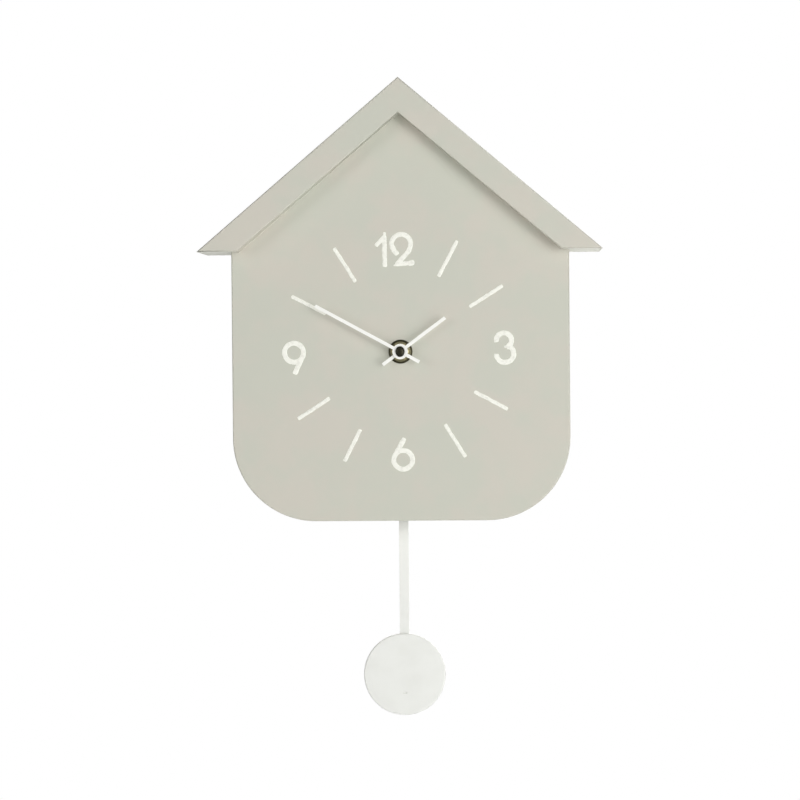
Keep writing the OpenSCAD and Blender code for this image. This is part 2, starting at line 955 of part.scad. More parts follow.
module minute_nut() {
    crown = 0.6;
    color(olive_brass)
        translate([0, minute_hand_y, dial_z])
            rotate([90, 0, 0])
                rotate_extrude()
                    polygon([
                        [minute_tip_r + fit_gap, 0],
                        [minute_nut_r, 0],
                        [minute_nut_r, minute_nut_h - crown],
                        [minute_nut_r - crown, minute_nut_h],
                        [0, minute_nut_h],
                        [0, minute_nut_h - 0.3],
                        [minute_tip_r + fit_gap, minute_nut_h - 0.3]
                    ]);
}

module hour_wheel() {
    color(white_plastic) {
        wheel(hub, hour_teeth, hour_module, hour_turn, hour_y, gear_t, pipe_bore_r);
        tube(hub, pipe_r, pipe_bore_r, pipe_y, hour_y + 0.1);
    }
}

module minute_wheel() {
    bore = stud_r + pivot_play;
    color(white_plastic) {
        wheel(
            minute_wheel_at, minute_wheel_teeth, motion_module, minute_wheel_turn,
            motion_y, gear_t, bore
        );
        pinion(
            minute_wheel_at, minute_pinion_teeth, hour_module, 0,
            hour_y, motion_y - hour_y + 0.1, bore
        );
    }
}

module setting_knob() {
    knob_y = move_y1 + 0.4;
    knob_r = 6;
    ribs = 20;
    color(white_plastic) {
        pinion(knob_at, knob_teeth, motion_module, knob_turn, motion_y, gear_t + 0.2);
        bar(knob_at, 0.8, motion_y - seat_gap - pivot_l + 0.1, motion_y + 0.1);
        bar(knob_at, 1.25, motion_y + gear_t, knob_y + 0.1);
        difference() {
            bar(knob_at, knob_r, knob_y, knob_y + 3.4);
            for (i = [0:ribs - 1])
                bar(
                    knob_at + knob_r * [cos(360 * i / ribs), sin(360 * i / ribs)],
                    0.45, knob_y - 1, knob_y + 5
                );
        }
    }
}

// Hanging arm of the pendulum, with its eye, magnet seat and hook
module pendulum_leader() {
    magnet_z = -coil_drop;
    foot_z = pivot_rise - leader_l;
    color(white_plastic)
        difference() {
            union() {
                bar(pivot_at, leader_eye_r, leader_y, leader_y + leader_t);
                bar([0, magnet_z], magnet_r + 1.2, leader_y, leader_y + leader_t);
                block(
                    [-leader_w / 2, leader_w / 2], [leader_y, leader_y + leader_t],
                    [foot_z, pivot_rise]
                );
                bar(
                    [0, foot_z + rod_lap / 2], hook_r,
                    leader_y + leader_t - 0.1, rod_y + rod_t + 0.4
                );
            }
            bar(pivot_at, pivot_r + pivot_play, leader_y - 1, leader_y + leader_t + 1);
            bar([0, magnet_z], magnet_r + fit_gap, leader_y - 1, leader_y + leader_t + 1);
        }
}

module leader_magnet() {
    color(steel)
        bar([0, -coil_drop], magnet_r, leader_y - 0.2, leader_y + leader_t);
}

module pendulum_rod() {
    top_z = pivot_rise - leader_l + rod_lap;
    color(white_paint) {
        difference() {
            block(
                [-rod_w / 2, rod_w / 2], [rod_y, rod_y + rod_t],
                [-rod_end_drop, top_z]
            );
            bar([0, top_z - rod_lap / 2], hook_r + pivot_play, rod_y - 1, rod_y + rod_t + 1);
        }
        block(
            [-bob_slit_w / 2 + 0.2, bob_slit_w / 2 - 0.2], [bob_y0 + bob_sheet_t / 2, rod_y + 0.1],
            [-rod_end_drop, -rod_end_drop + 0.6]
        );
    }
}

// A shallow pressed disc with a rolled rim, slit for the rod's tab
module pendulum_bob() {
    rim_r = 1;
    color(white_paint)
        difference() {
            translate([0, bob_y1, dial_z - bob_drop])
                rotate([90, 0, 0])
                    rotate_extrude() {
                        square([bob_r - rim_r, bob_rim_d]);
                        translate([bob_r - rim_r, 0])
                            square([rim_r, bob_rim_d - rim_r]);
                        translate([bob_r - rim_r, bob_rim_d - rim_r])
                            circle(r = rim_r);
                    }
            bar([0, -bob_drop], bob_r - rim_r, bob_y0 + bob_sheet_t, bob_y1 + 1);
            block(
                [-bob_slit_w / 2, bob_slit_w / 2], [bob_y0 - 1, bob_y1 + 1],
                [-bob_drop - bob_slit_drop, -bob_drop - bob_slit_drop + bob_slit_h]
            );
        }
}

// The strap behind the bob that the rod slips through
module bob_clip() {
    strap_h = 8;
    wall = 0.5;
    side = rod_w / 2 + fit_gap;
    z = [-bob_drop + 4, -bob_drop + 4 + strap_h];
    foot_y = bob_y0 + bob_sheet_t;
    color(steel)
        difference() {
            union() {
                block([-side - wall, side + wall], [foot_y, rod_y + rod_t + fit_gap + wall], z);
                block([-side - 5, side + 5], [foot_y, foot_y + wall], z);
            }
            block(
                [-side, side], [foot_y - 1, rod_y + rod_t + fit_gap],
                [z[0] - 1, z[1] + 1]
            );
        }
}

face_panel();
side_band();
back_frame();
roof_sheet();
roof_fascia();
eave_plate_left();
eave_plate_right();
numeral_12();
numeral_3();
numeral_6();
numeral_9();
hour_marks();
gasket();
movement_case();
movement_cover();
washer();
centre_nut();
circuit_board();
quartz_crystal();
chip();
stator();
motor_coil();
plus_contact();
minus_contact();
pendulum_coil();
pivot_pin();
battery();
rotor();
fifth_wheel();
fourth_wheel();
third_wheel();
centre_wheel();
minute_arbor();
clutch_spring();
minute_hand();
minute_nut();
hour_wheel();
hour_hand();
minute_wheel();
setting_knob();
pendulum_leader();
leader_magnet();
pendulum_rod();
pendulum_bob();
bob_clip();
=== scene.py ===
"""Looks of a house-shaped pendulum wall clock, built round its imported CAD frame."""

import logging
import math
from dataclasses import dataclass
from enum import Enum
from typing import Callable, ClassVar, Iterable, Sequence, Union

import bmesh
import bpy
import numpy as np
from mathutils import Matrix, Vector, noise


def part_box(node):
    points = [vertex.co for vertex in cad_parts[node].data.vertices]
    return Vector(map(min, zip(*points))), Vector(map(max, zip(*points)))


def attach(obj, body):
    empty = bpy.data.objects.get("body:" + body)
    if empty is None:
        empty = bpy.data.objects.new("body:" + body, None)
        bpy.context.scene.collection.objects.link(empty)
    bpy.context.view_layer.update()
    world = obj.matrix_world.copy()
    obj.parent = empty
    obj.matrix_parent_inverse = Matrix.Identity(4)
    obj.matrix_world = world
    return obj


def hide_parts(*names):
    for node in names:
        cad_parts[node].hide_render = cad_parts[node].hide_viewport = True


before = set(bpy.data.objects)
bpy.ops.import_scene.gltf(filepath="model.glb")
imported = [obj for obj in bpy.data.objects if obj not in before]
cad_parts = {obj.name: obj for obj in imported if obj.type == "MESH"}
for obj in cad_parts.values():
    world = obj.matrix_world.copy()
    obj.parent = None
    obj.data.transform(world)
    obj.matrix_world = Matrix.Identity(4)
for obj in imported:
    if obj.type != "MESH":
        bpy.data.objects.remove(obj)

log = logging.getLogger("clock")

Pair = tuple[float, float]
Triple = tuple[float, float, float]
Colour = tuple[float, float, float, float]
Outline = Sequence[Pair]
MM = 0.001


def paint_chip(red: float, green: float, blue: float) -> Colour:
    """A display colour, 0 to 255 a channel, as linear light.

    Args:
        red: Red of the display colour.
        green: Green of the display colour.
        blue: Blue of the display colour.

    Returns:
        The linear colour with full alpha.
    """
    def linear(value: float) -> float:
        """One channel in linear light."""
        share = value / 255
        return share / 12.92 if share <= 0.04045 else ((share + 0.055) / 1.055) ** 2.4

    return linear(red), linear(green), linear(blue), 1.0


class Sum(Enum):
    """The sums that a Math node does here."""

    PLUS = "ADD"
    LESS = "SUBTRACT"
    TIMES = "MULTIPLY"
    LARGER = "MAXIMUM"


class Wire:
    """An output socket that takes part in Python sums, each of which adds a Math node."""

    def __init__(self, sheet: "Sheet", socket: bpy.types.NodeSocket | None) -> None:
        """Keeps the socket and the sheet that its nodes go into."""
        self.sheet = sheet
        self.socket = socket

    def _math(self, kind: Sum, *values: Union["Wire", float]) -> "Wire":
        """A Math node over the given values."""
        return self.sheet.node("ShaderNodeMath", {"operation": kind.value}, dict(enumerate(values)))

    def __add__(self, other: Union["Wire", float]) -> "Wire":
        """This value plus another."""
        return self._math(Sum.PLUS, self, other)

    def __radd__(self, other: float) -> "Wire":
        """A number plus this value."""
        return self._math(Sum.PLUS, other, self)

    def __sub__(self, other: Union["Wire", float]) -> "Wire":
        """This value less another."""
        return self._math(Sum.LESS, self, other)

    def __rsub__(self, other: float) -> "Wire":
        """A number less this value."""
        return self._math(Sum.LESS, other, self)

    def __mul__(self, other: Union["Wire", float]) -> "Wire":
        """This value times another."""
        return self._math(Sum.TIMES, self, other)

    def __rmul__(self, other: float) -> "Wire":
        """A number times this value."""
        return self._math(Sum.TIMES, other, self)

    def above(self, edge: float, width: float) -> "Wire":
        """A soft step from 0 to 1 as this value passes an edge.

        Args:
            edge: Where the step is halfway.
            width: How wide the step is.

        Returns:
            The step, from 0 to 1.
        """
        return self.sheet.node(
            "ShaderNodeMapRange",
            {"interpolation_type": "SMOOTHSTEP"},
            {"Value": self, "From Min": edge - width / 2, "From Max": edge + width / 2},
        )


Feed = Union[Wire, float, Colour, Triple]


class Sheet:
    """A node tree that is filled through one method."""

    def __init__(self, tree: bpy.types.NodeTree) -> None:
        """Clears the tree."""
        self.tree = tree
        tree.nodes.clear()

    @staticmethod
    def _socket(sockets: Iterable[bpy.types.NodeSocket], key: Union[str, int]) -> bpy.types.NodeSocket:
        """The socket that a key names.

        Args:
            sockets: The sockets to look through.
            key: A socket's identifier, its name or its place among them.

        Returns:
            The socket.
        """
        listed = list(sockets)
        if isinstance(key, int):
            return listed[key]
        for socket in listed:
            if socket.identifier == key:
                return socket
        return next(socket for socket in listed if socket.name == key and socket.enabled)

    def node(
        self,
        kind: str,
        settings: dict[str, object] | None = None,
        inputs: dict[Union[str, int], Feed] | None = None,
        output: Union[str, int] = 0,
    ) -> Wire:
        """Adds a node, makes its settings first and then feeds its sockets.

        Args:
            kind: Blender's type name of the node.
            settings: Properties of the node.
            inputs: Values or wires for its input sockets.
            output: The output socket to hand back.

        Returns:
            The wire that leaves the node.
        """
        made = self.tree.nodes.new(kind)
        for key, value in (settings or {}).items():
            setattr(made, key, value)
        for key, value in (inputs or {}).items():
            socket = self._socket(made.inputs, key)
            if isinstance(value, Wire):
                self.tree.links.new(value.socket, socket)
            else:
                socket.default_value = value
        return Wire(self, self._socket(made.outputs, output) if made.outputs else None)

    def any_ray(self, *kinds: str) -> "Wire":
        """1 on a ray of any of the kinds named, and otherwise 0.

        Args:
            kinds: Names of the Light Path node's outputs.

        Returns:
            The wire.
        """
        found = self.node("ShaderNodeLightPath", output=kinds[0])
        for kind in kinds[1:]:
            other = self.node("ShaderNodeLightPath", output=kind)
            found = self.node("ShaderNodeMath", {"operation": Sum.LARGER.value}, {0: found, 1: other})
        return found


class Recipe(Sheet):
    """The node tree of one finish."""

    EDGE_FROM, EDGE_WIDTH = 0.12, 0.2

    def __init__(self, name: str) -> None:
        """Starts an empty material.

        Args:
            name: Name of the finish.
        """
        self.material = bpy.data.materials.new(name)
        self.material.use_nodes = True
        super().__init__(self.material.node_tree)

    def place(self, stretch: Triple = (1.0, 1.0, 1.0), turn: Triple = (0.0, 0.0, 0.0)) -> Wire:
        """Where a point is on its own piece, in metres, stretched and turned.

        Args:
            stretch: Factors along the three axes.
            turn: Turns about the three axes, in radians.

        Returns:
            The wire with the place.
        """
        here = self.node("ShaderNodeTexCoord", output="Object")
        return self.node("ShaderNodeMapping", {}, {"Vector": here, "Scale": stretch, "Rotation": turn})

    def mottle(
        self, grain_mm: float, detail: float = 3.0, roughness: float = 0.5,
        stretch: Triple = (1.0, 1.0, 1.0), turn: Triple = (0.0, 0.0, 0.0),
    ) -> Wire:
        """Noise whose patches are about as wide as the grain given.

        Args:
            grain_mm: Width of a patch in millimetres.
            detail: How many finer layers there are.
            roughness: How strong the finer layers are.
            stretch: Factors along the three axes.
            turn: Turns about the three axes, in radians.

        Returns:
            The noise, about 0.5 on average.
        """
        return self.node(
            "ShaderNodeTexNoise",
            {},
            {
                "Vector": self.place(stretch, turn), "Scale": 1 / (grain_mm * MM),
                "Detail": detail, "Roughness": roughness,
            },
        )

    def blend(self, share: Feed, first: Feed, second: Feed, how: str = "MIX") -> Wire:
        """Two colours mixed.

        Args:
            share: How much of the second there is.
            first: The colour at share 0.
            second: The colour at share 1.
            how: Blender's name of the way they mix.

        Returns:
            The mixed colour.
        """
        return self.node(
            "ShaderNodeMix",
            {"data_type": "RGBA", "blend_type": how},
            {"Factor_Float": share, "A_Color": first, "B_Color": second},
            "Result_Color",
        )

    def relief(self, height: Wire, depth_mm: float, strength: float = 1.0, under: Wire | None = None) -> Wire:
        """A normal bent by a height.

        Args:
            height: The height, from 0 to 1.
            depth_mm: How high 1 stands, in millimetres.
            strength: How much of the bend is used.
            under: A normal that was bent before.

        Returns:
            The bent normal.
        """
        feeds: dict[Union[str, int], Feed] = {
            "Height": height, "Distance": depth_mm * MM, "Strength": strength
        }
        if under is not None:
            feeds["Normal"] = under
        return self.node("ShaderNodeBump", {}, feeds)

    def edge_share(self, reach_mm: float) -> Wire:
        """How near a point is to a rounded edge.

        Args:
            reach_mm: How far the effect reaches from the edge.

        Returns:
            About 0 on a flat and up to 1 on a sharp edge.
        """
        rounded = self.node("ShaderNodeBevel", {"samples": 4}, {"Radius": reach_mm * MM})
        flat = self.node("ShaderNodeNewGeometry", output="Normal")
        along = self.node(
            "ShaderNodeVectorMath", {"operation": "DOT_PRODUCT"}, {0: rounded, 1: flat}, "Value"
        )
        return (1 - along).above(self.EDGE_FROM, self.EDGE_WIDTH)

    def surface(self, **feeds: Feed) -> bpy.types.Material:
        """Closes the recipe with its shader.

        Args:
            feeds: Values or wires by socket name, with _ for a space.

        Returns:
            The finished material.
        """
        named: dict[Union[str, int], Feed] = {key.replace("_", " "): value for key, value in feeds.items()}
        shader = self.node("ShaderNodeBsdfPrincipled", {}, named)
        self.node("ShaderNodeOutputMaterial", {}, {"Surface": shader})
        return self.material


class Finish:
    """A finish that is mixed once and shared by every piece that wears it."""

    name = "finish"
    slot = ""
    shelf: ClassVar[dict[str, bpy.types.Material]] = {}

    def mix(self, recipe: Recipe) -> bpy.types.Material:
        """Mixes the finish. Each finish does this in its own way."""
        raise NotImplementedError

    def material(self) -> bpy.types.Material:
        """The mixed finish, from the shelf where it was mixed before.

        Returns:
            The material.
        """
        if self.name not in self.shelf:
            self.shelf[self.name] = self.mix(Recipe(self.name))
        return self.shelf[self.name]


@dataclass(frozen=True)
class SheetPaint(Finish):
    """Matt greige paint on sheet steel, with a fine orange peel and edges rubbed a little pale.

    Where an underside tone is given, faces that look down are painted paler with it: painted light standing
    in for light bounced up onto undersides.
    """

    name: str = "greige_paint"
    slot: str = "case_paint"
    body: Colour = paint_chip(202, 203, 190)
    warm: Colour = paint_chip(207, 203, 191)
    rubbed: Colour = paint_chip(226, 226, 216)
    dust: Colour = paint_chip(215, 214, 204)
    painted_bounce_light: Colour | None = None
    roughness: float = 0.62

    def mix(self, recipe: Recipe) -> bpy.types.Material:
        """Mixes the paint.

        Args:
            recipe: The empty recipe to fill.

        Returns:
            The material.
        """
        clouds = recipe.mottle(34, detail=3, roughness=0.6)
        tone = recipe.blend(clouds.above(0.5, 0.3), self.body, self.warm)
        speck = recipe.mottle(0.9, detail=4, roughness=0.7)
        tone = recipe.blend(speck.above(0.66, 0.1) * 0.25, tone, self.dust)
        scuffs = recipe.mottle(3.5, detail=5, roughness=0.65)
        rub = recipe.edge_share(0.7) * scuffs.above(0.47, 0.25)
        tone = recipe.blend(rub * 0.75, tone, self.rubbed)
        # Painted light: faces that look down are painted paler, standing in for light bounced up onto them.
        if self.painted_bounce_light:
            facing = recipe.node("ShaderNodeNewGeometry", output="True Normal")
            down = recipe.node("ShaderNodeSeparateXYZ", {}, {"Vector": facing}, "Z") * -1.0
            tone = recipe.blend(down.above(0.5, 0.4), tone, self.painted_bounce_light)
        peel = recipe.mottle(1.1, detail=3, roughness=0.55)
        brush = recipe.mottle(4.5, detail=3, roughness=0.5, stretch=(0.35, 1.0, 1.0))
        normal = recipe.relief(peel, depth_mm=0.05, strength=0.35)
        normal = recipe.relief(brush, depth_mm=0.08, strength=0.2, under=normal)
        return recipe.surface(
            Base_Color=tone,
            Roughness=self.roughness + (clouds - 0.5) * 0.12 - rub * 0.1,
            Normal=normal,
        )


@dataclass(frozen=True)
class StencilPaint(Finish):
    """Cream paint dabbed through a stencil: streaky, with thin places and raised ridges."""

    name: str = "cream_print"
    slot: str = "dial_paint"
    cream: Colour = paint_chip(250, 250, 240)
    thin: Colour = paint_chip(230, 230, 219)
    ground: Colour = paint_chip(205, 205, 192)

    def mix(self, recipe: Recipe) -> bpy.types.Material:
        """Mixes the paint.

        Args:
            recipe: The empty recipe to fill.

        Returns:
            The material.
        """
        streaks = recipe.mottle(1.5, detail=4, roughness=0.62)
        pores = recipe.mottle(0.62, detail=2, roughness=0.5)
        tone = recipe.blend(streaks.above(0.56, 0.14) * 0.6, self.cream, self.thin)
        tone = recipe.blend(pores.above(0.71, 0.07) * 0.7, tone, self.ground)
        normal = recipe.relief(streaks + pores * 0.5, depth_mm=0.09, strength=0.45)
        return recipe.surface(Base_Color=tone, Roughness=0.5 + streaks * 0.12, Normal=normal)


@dataclass(frozen=True)
class Enamel(Finish):
    """Smooth white enamel with a faint cloud in it and dust in its hollows."""

    name: str = "white_enamel"
    slot: str = "pendulum_paint"
    body: Colour = paint_chip(240, 241, 236)
    shade: Colour = paint_chip(230, 231, 225)
    roughness: float = 0.42
    coat: float = 0.15

    def mix(self, recipe: Recipe) -> bpy.types.Material:
        """Mixes the enamel.

        Args:
            recipe: The empty recipe to fill.

        Returns:
            The material.
        """
        clouds = recipe.mottle(14, detail=3)
        specks = recipe.mottle(0.8, detail=3, roughness=0.6)
        tone = recipe.blend(clouds.above(0.55, 0.4) * 0.45, self.body, self.shade)
        tone = recipe.blend(specks.above(0.7, 0.08) * 0.25, tone, self.shade)
        normal = recipe.relief(recipe.mottle(0.8, detail=2), depth_mm=0.03, strength=0.25)
        return recipe.surface(
            Base_Color=tone, Roughness=self.roughness + (clouds - 0.5) * 0.1,
            Coat_Weight=self.coat * clouds, Coat_Roughness=0.25, Normal=normal,
        )


@dataclass(frozen=True)
class Metal(Finish):
    """Bare or plated metal with turning marks and tarnish."""

    name: str = "zinc_plate"
    slot: str = "steel"
    body: Colour = paint_chip(148, 150, 154)
    tarnish: Colour = paint_chip(104, 104, 106)
    tarnish_share: float = 0.35
    roughness: float = 0.28
    grain: Triple = (1.0, 1.0, 1.0)
    metallic: float = 1.0

    def mix(self, recipe: Recipe) -> bpy.types.Material:
        """Mixes the metal.

        Args:
            recipe: The empty recipe to fill.

        Returns:
            The material.
        """
        patches = recipe.mottle(2.6, detail=4, roughness=0.6)
        marks = recipe.mottle(0.25, detail=2, roughness=0.5, stretch=self.grain)
        tone = recipe.blend(patches.above(0.55, 0.3) * self.tarnish_share, self.body, self.tarnish)
        normal = recipe.relief(marks, depth_mm=0.012, strength=0.4)
        return recipe.surface(
            Base_Color=tone, Metallic=self.metallic,
            Roughness=self.roughness + patches * 0.18, Normal=normal,
        )


@dataclass(frozen=True)
class Moulded(Finish):
    """Injection-moulded plastic or rubber with a spark-eroded grain."""

    name: str = "black_moulding"
    slot: str = "black_plastic"
    body: Colour = paint_chip(34, 34, 36)
    bloom: Colour = paint_chip(52, 52, 54)
    roughness: float = 0.48
    grain_mm: float = 0.35
    depth_mm: float = 0.03

    def mix(self, recipe: Recipe) -> bpy.types.Material:
        """Mixes the plastic.

        Args:
            recipe: The empty recipe to fill.

        Returns:
            The material.
        """
        flow = recipe.mottle(9, detail=3)
        grain = recipe.mottle(self.grain_mm, detail=2, roughness=0.6)
        tone = recipe.blend(flow.above(0.55, 0.4) * 0.5, self.body, self.bloom)
        rub = recipe.edge_share(0.35)
        tone = recipe.blend(rub * 0.4, tone, self.bloom)
        return recipe.surface(
            Base_Color=tone, Roughness=self.roughness + grain * 0.16 - rub * 0.1,
            Normal=recipe.relief(grain, depth_mm=self.depth_mm, strength=0.5),
        )


@dataclass(frozen=True)
class LappedBrass(Finish):
    """Browned brass whose front faces are rubbed back to a paler metal."""

    name: str = "browned_brass"
    slot: str = "dark_brass"
    dark: Colour = paint_chip(46, 44, 29)
    rubbed: Colour = paint_chip(122, 118, 92)
    rubbed_share: float = 1.0
    roughness: float = 0.34

    def mix(self, recipe: Recipe) -> bpy.types.Material:
        """Mixes the metal.

        Args:
            recipe: The empty recipe to fill.

        Returns:
            The material.
        """
        patches = recipe.mottle(1.4, detail=3, roughness=0.6)
        facing = recipe.node("ShaderNodeNewGeometry", output="True Normal")
        forward = recipe.node("ShaderNodeSeparateXYZ", {}, {"Vector": facing}, "Y") * -1.0
        lapped = forward.above(0.97, 0.03) * (0.75 + patches * 0.4) * self.rubbed_share
        tone = recipe.blend(lapped, self.dark, self.rubbed)
        return recipe.surface(
            Base_Color=tone, Metallic=0.85, Roughness=self.roughness + patches * 0.15,
            Normal=recipe.relief(recipe.mottle(0.3, detail=2), depth_mm=0.015, strength=0.5),
        )


@dataclass(frozen=True)
class Winding(Finish):
    """Lacquered copper wire in close turns, each shaded darker towards the crevices between turns as painted
    shade.

    The band run is how far one band of Blender's wave texture reaches at a scale of 1.
    """

    name: str = "lacquered_turns"
    slot: str = "copper_winding"
    body: Colour = paint_chip(176, 98, 46)
    painted_crevice_shade: Colour = paint_chip(92, 42, 18)
    turn_mm: float = 0.22
    band_run: float = 0.314

    def mix(self, recipe: Recipe) -> bpy.types.Material:
        """Mixes the winding.

        Args:
            recipe: The empty recipe to fill.

        Returns:
            The material.
        """
        turns = recipe.node(
            "ShaderNodeTexWave",
            {"wave_type": "BANDS", "bands_direction": "X"},
            {"Vector": recipe.place(), "Scale": self.band_run / (self.turn_mm * MM), "Distortion": 0.4},
            "Fac",
        )
        # Painted shade: each turn goes from its bright crown to the dark colour in the crevices beside it.
        tone = recipe.blend(turns, self.painted_crevice_shade, self.body)
        return recipe.surface(
            Base_Color=tone, Metallic=0.9, Roughness=0.3 + turns * 0.1,
            Normal=recipe.relief(turns, depth_mm=0.08, strength=0.8),
        )


@dataclass(frozen=True)
class BoardLaminate(Finish):
    """Green circuit laminate with tracks that show through the mask."""

    name: str = "green_board"
    slot: str = "board"
    mask: Colour = paint_chip(22, 92, 52)
    track: Colour = paint_chip(58, 132, 80)
    cells_per_m: float = 260.0

    def mix(self, recipe: Recipe) -> bpy.types.Material:
        """Mixes the laminate.

        Args:
            recipe: The empty recipe to fill.

        Returns:
            The material.
        """
        cells = recipe.node(
            "ShaderNodeTexVoronoi",
            {"feature": "DISTANCE_TO_EDGE", "distance": "EUCLIDEAN"},
            {"Vector": recipe.place((1.0, 0.0, 0.5)), "Scale": self.cells_per_m, "Randomness": 0.6},
            "Distance",
        )
        track = 1 - cells.above(0.12, 0.05)
        tone = recipe.blend(track, self.mask, self.track)
        return recipe.surface(
            Base_Color=tone, Roughness=0.35 + recipe.mottle(2) * 0.1,
            Normal=recipe.relief(track, depth_mm=0.035, strength=0.6),
        )


@dataclass(frozen=True)
class CellWrap(Finish):
    """Printed film round a dry cell: a dark body with a plain pale band at the nub end."""

    name: str = "cell_film"
    slot: str = "cell_sleeve"
    body: Colour = paint_chip(38, 58, 52)
    band: Colour = paint_chip(206, 203, 190)
    band_from_mm: float = 0.0
    seam: Colour = paint_chip(28, 42, 38)

    def mix(self, recipe: Recipe) -> bpy.types.Material:
        """Mixes the film.

        Args:
            recipe: The empty recipe to fill.

        Returns:
            The material.
        """
        height = recipe.node("ShaderNodeSeparateXYZ", {}, {"Vector": recipe.place()}, "Z")
        top = height.above(self.band_from_mm * MM, 0.1 * MM)
        print_noise = recipe.mottle(3, detail=3)
        tone = recipe.blend(print_noise * 0.4, self.body, self.seam)
        tone = recipe.blend(top, tone, self.band)
        return recipe.surface(
            Base_Color=tone, Roughness=0.26 + print_noise * 0.12, Metallic=0.2,
            Normal=recipe.relief(recipe.mottle(0.7, detail=2), depth_mm=0.02, strength=0.3),
        )


GREIGE = SheetPaint()
# Paint whose undersides are painted paler: painted light for light bounced up onto the eave plates.
SOFFIT = SheetPaint("soffit_paint", painted_bounce_light=paint_chip(222, 222, 211))
PRINT = StencilPaint()
HAND_ENAMEL = Enamel(
    "hand_enamel", "hand_paint", paint_chip(254, 254, 249), paint_chip(246, 246, 239), 0.38, 0.2
)
BOB_ENAMEL = Enamel()
DARK_BRASS = LappedBrass()
CAP_BRASS = LappedBrass("cap_brass", "dark_brass", paint_chip(31, 30, 21), paint_chip(52, 50, 34), 0.3, 0.22)
NUT_BRASS = Metal(
    "nut_brass", "brass", paint_chip(150, 142, 108), paint_chip(80, 74, 48), 0.75, 0.3, (1.0, 3.0, 1.0)
)
ARBOR_BRASS = Metal("arbor_brass", "brass", paint_chip(196, 168, 96), paint_chip(120, 96, 48), 0.3, 0.24)
STEEL = Metal()
LAMINATION = Metal("lamination_steel", "steel", paint_chip(150, 152, 156), paint_chip(96, 94, 92), 0.5, 0.42)
MAGNET_PLATE = Metal("magnet_nickel", "steel", paint_chip(134, 134, 137), paint_chip(92, 90, 88), 0.3, 0.24)
BLACK_MOULDING = Moulded()
BLACK_RUBBER = Moulded(
    "soft_rubber", "black_rubber", paint_chip(26, 26, 27), paint_chip(44, 43, 42), 0.72, 0.5, 0.02
)
WHITE_MOULDING = Moulded(
    "white_moulding", "white_plastic", paint_chip(226, 226, 220), paint_chip(240, 240, 236), 0.4, 0.5, 0.015
)
RUBBED_MOULDING = Moulded(
    "rubbed_moulding", "black_plastic", paint_chip(66, 66, 68), paint_chip(96, 96, 98), 0.32
)
# A greyer white for the two rings on the setting knob's face.
KNOB_GROOVE = Moulded(
    "grey_ring_moulding", "white_plastic", paint_chip(186, 186, 179), paint_chip(206, 206, 200), 0.5, 0.5, 0.015
)
CHIP_RESIN = Moulded("chip_resin", "epoxy", paint_chip(20, 19, 20), paint_chip(40, 38, 38), 0.3, 1.2, 0.05)
WINDING = Winding()
LAMINATE = BoardLaminate()


class Rounded(Enum):
    """Which edges of a piece a rounding takes."""

    SHARP = "ANGLE"
    CHOSEN = "WEIGHT"


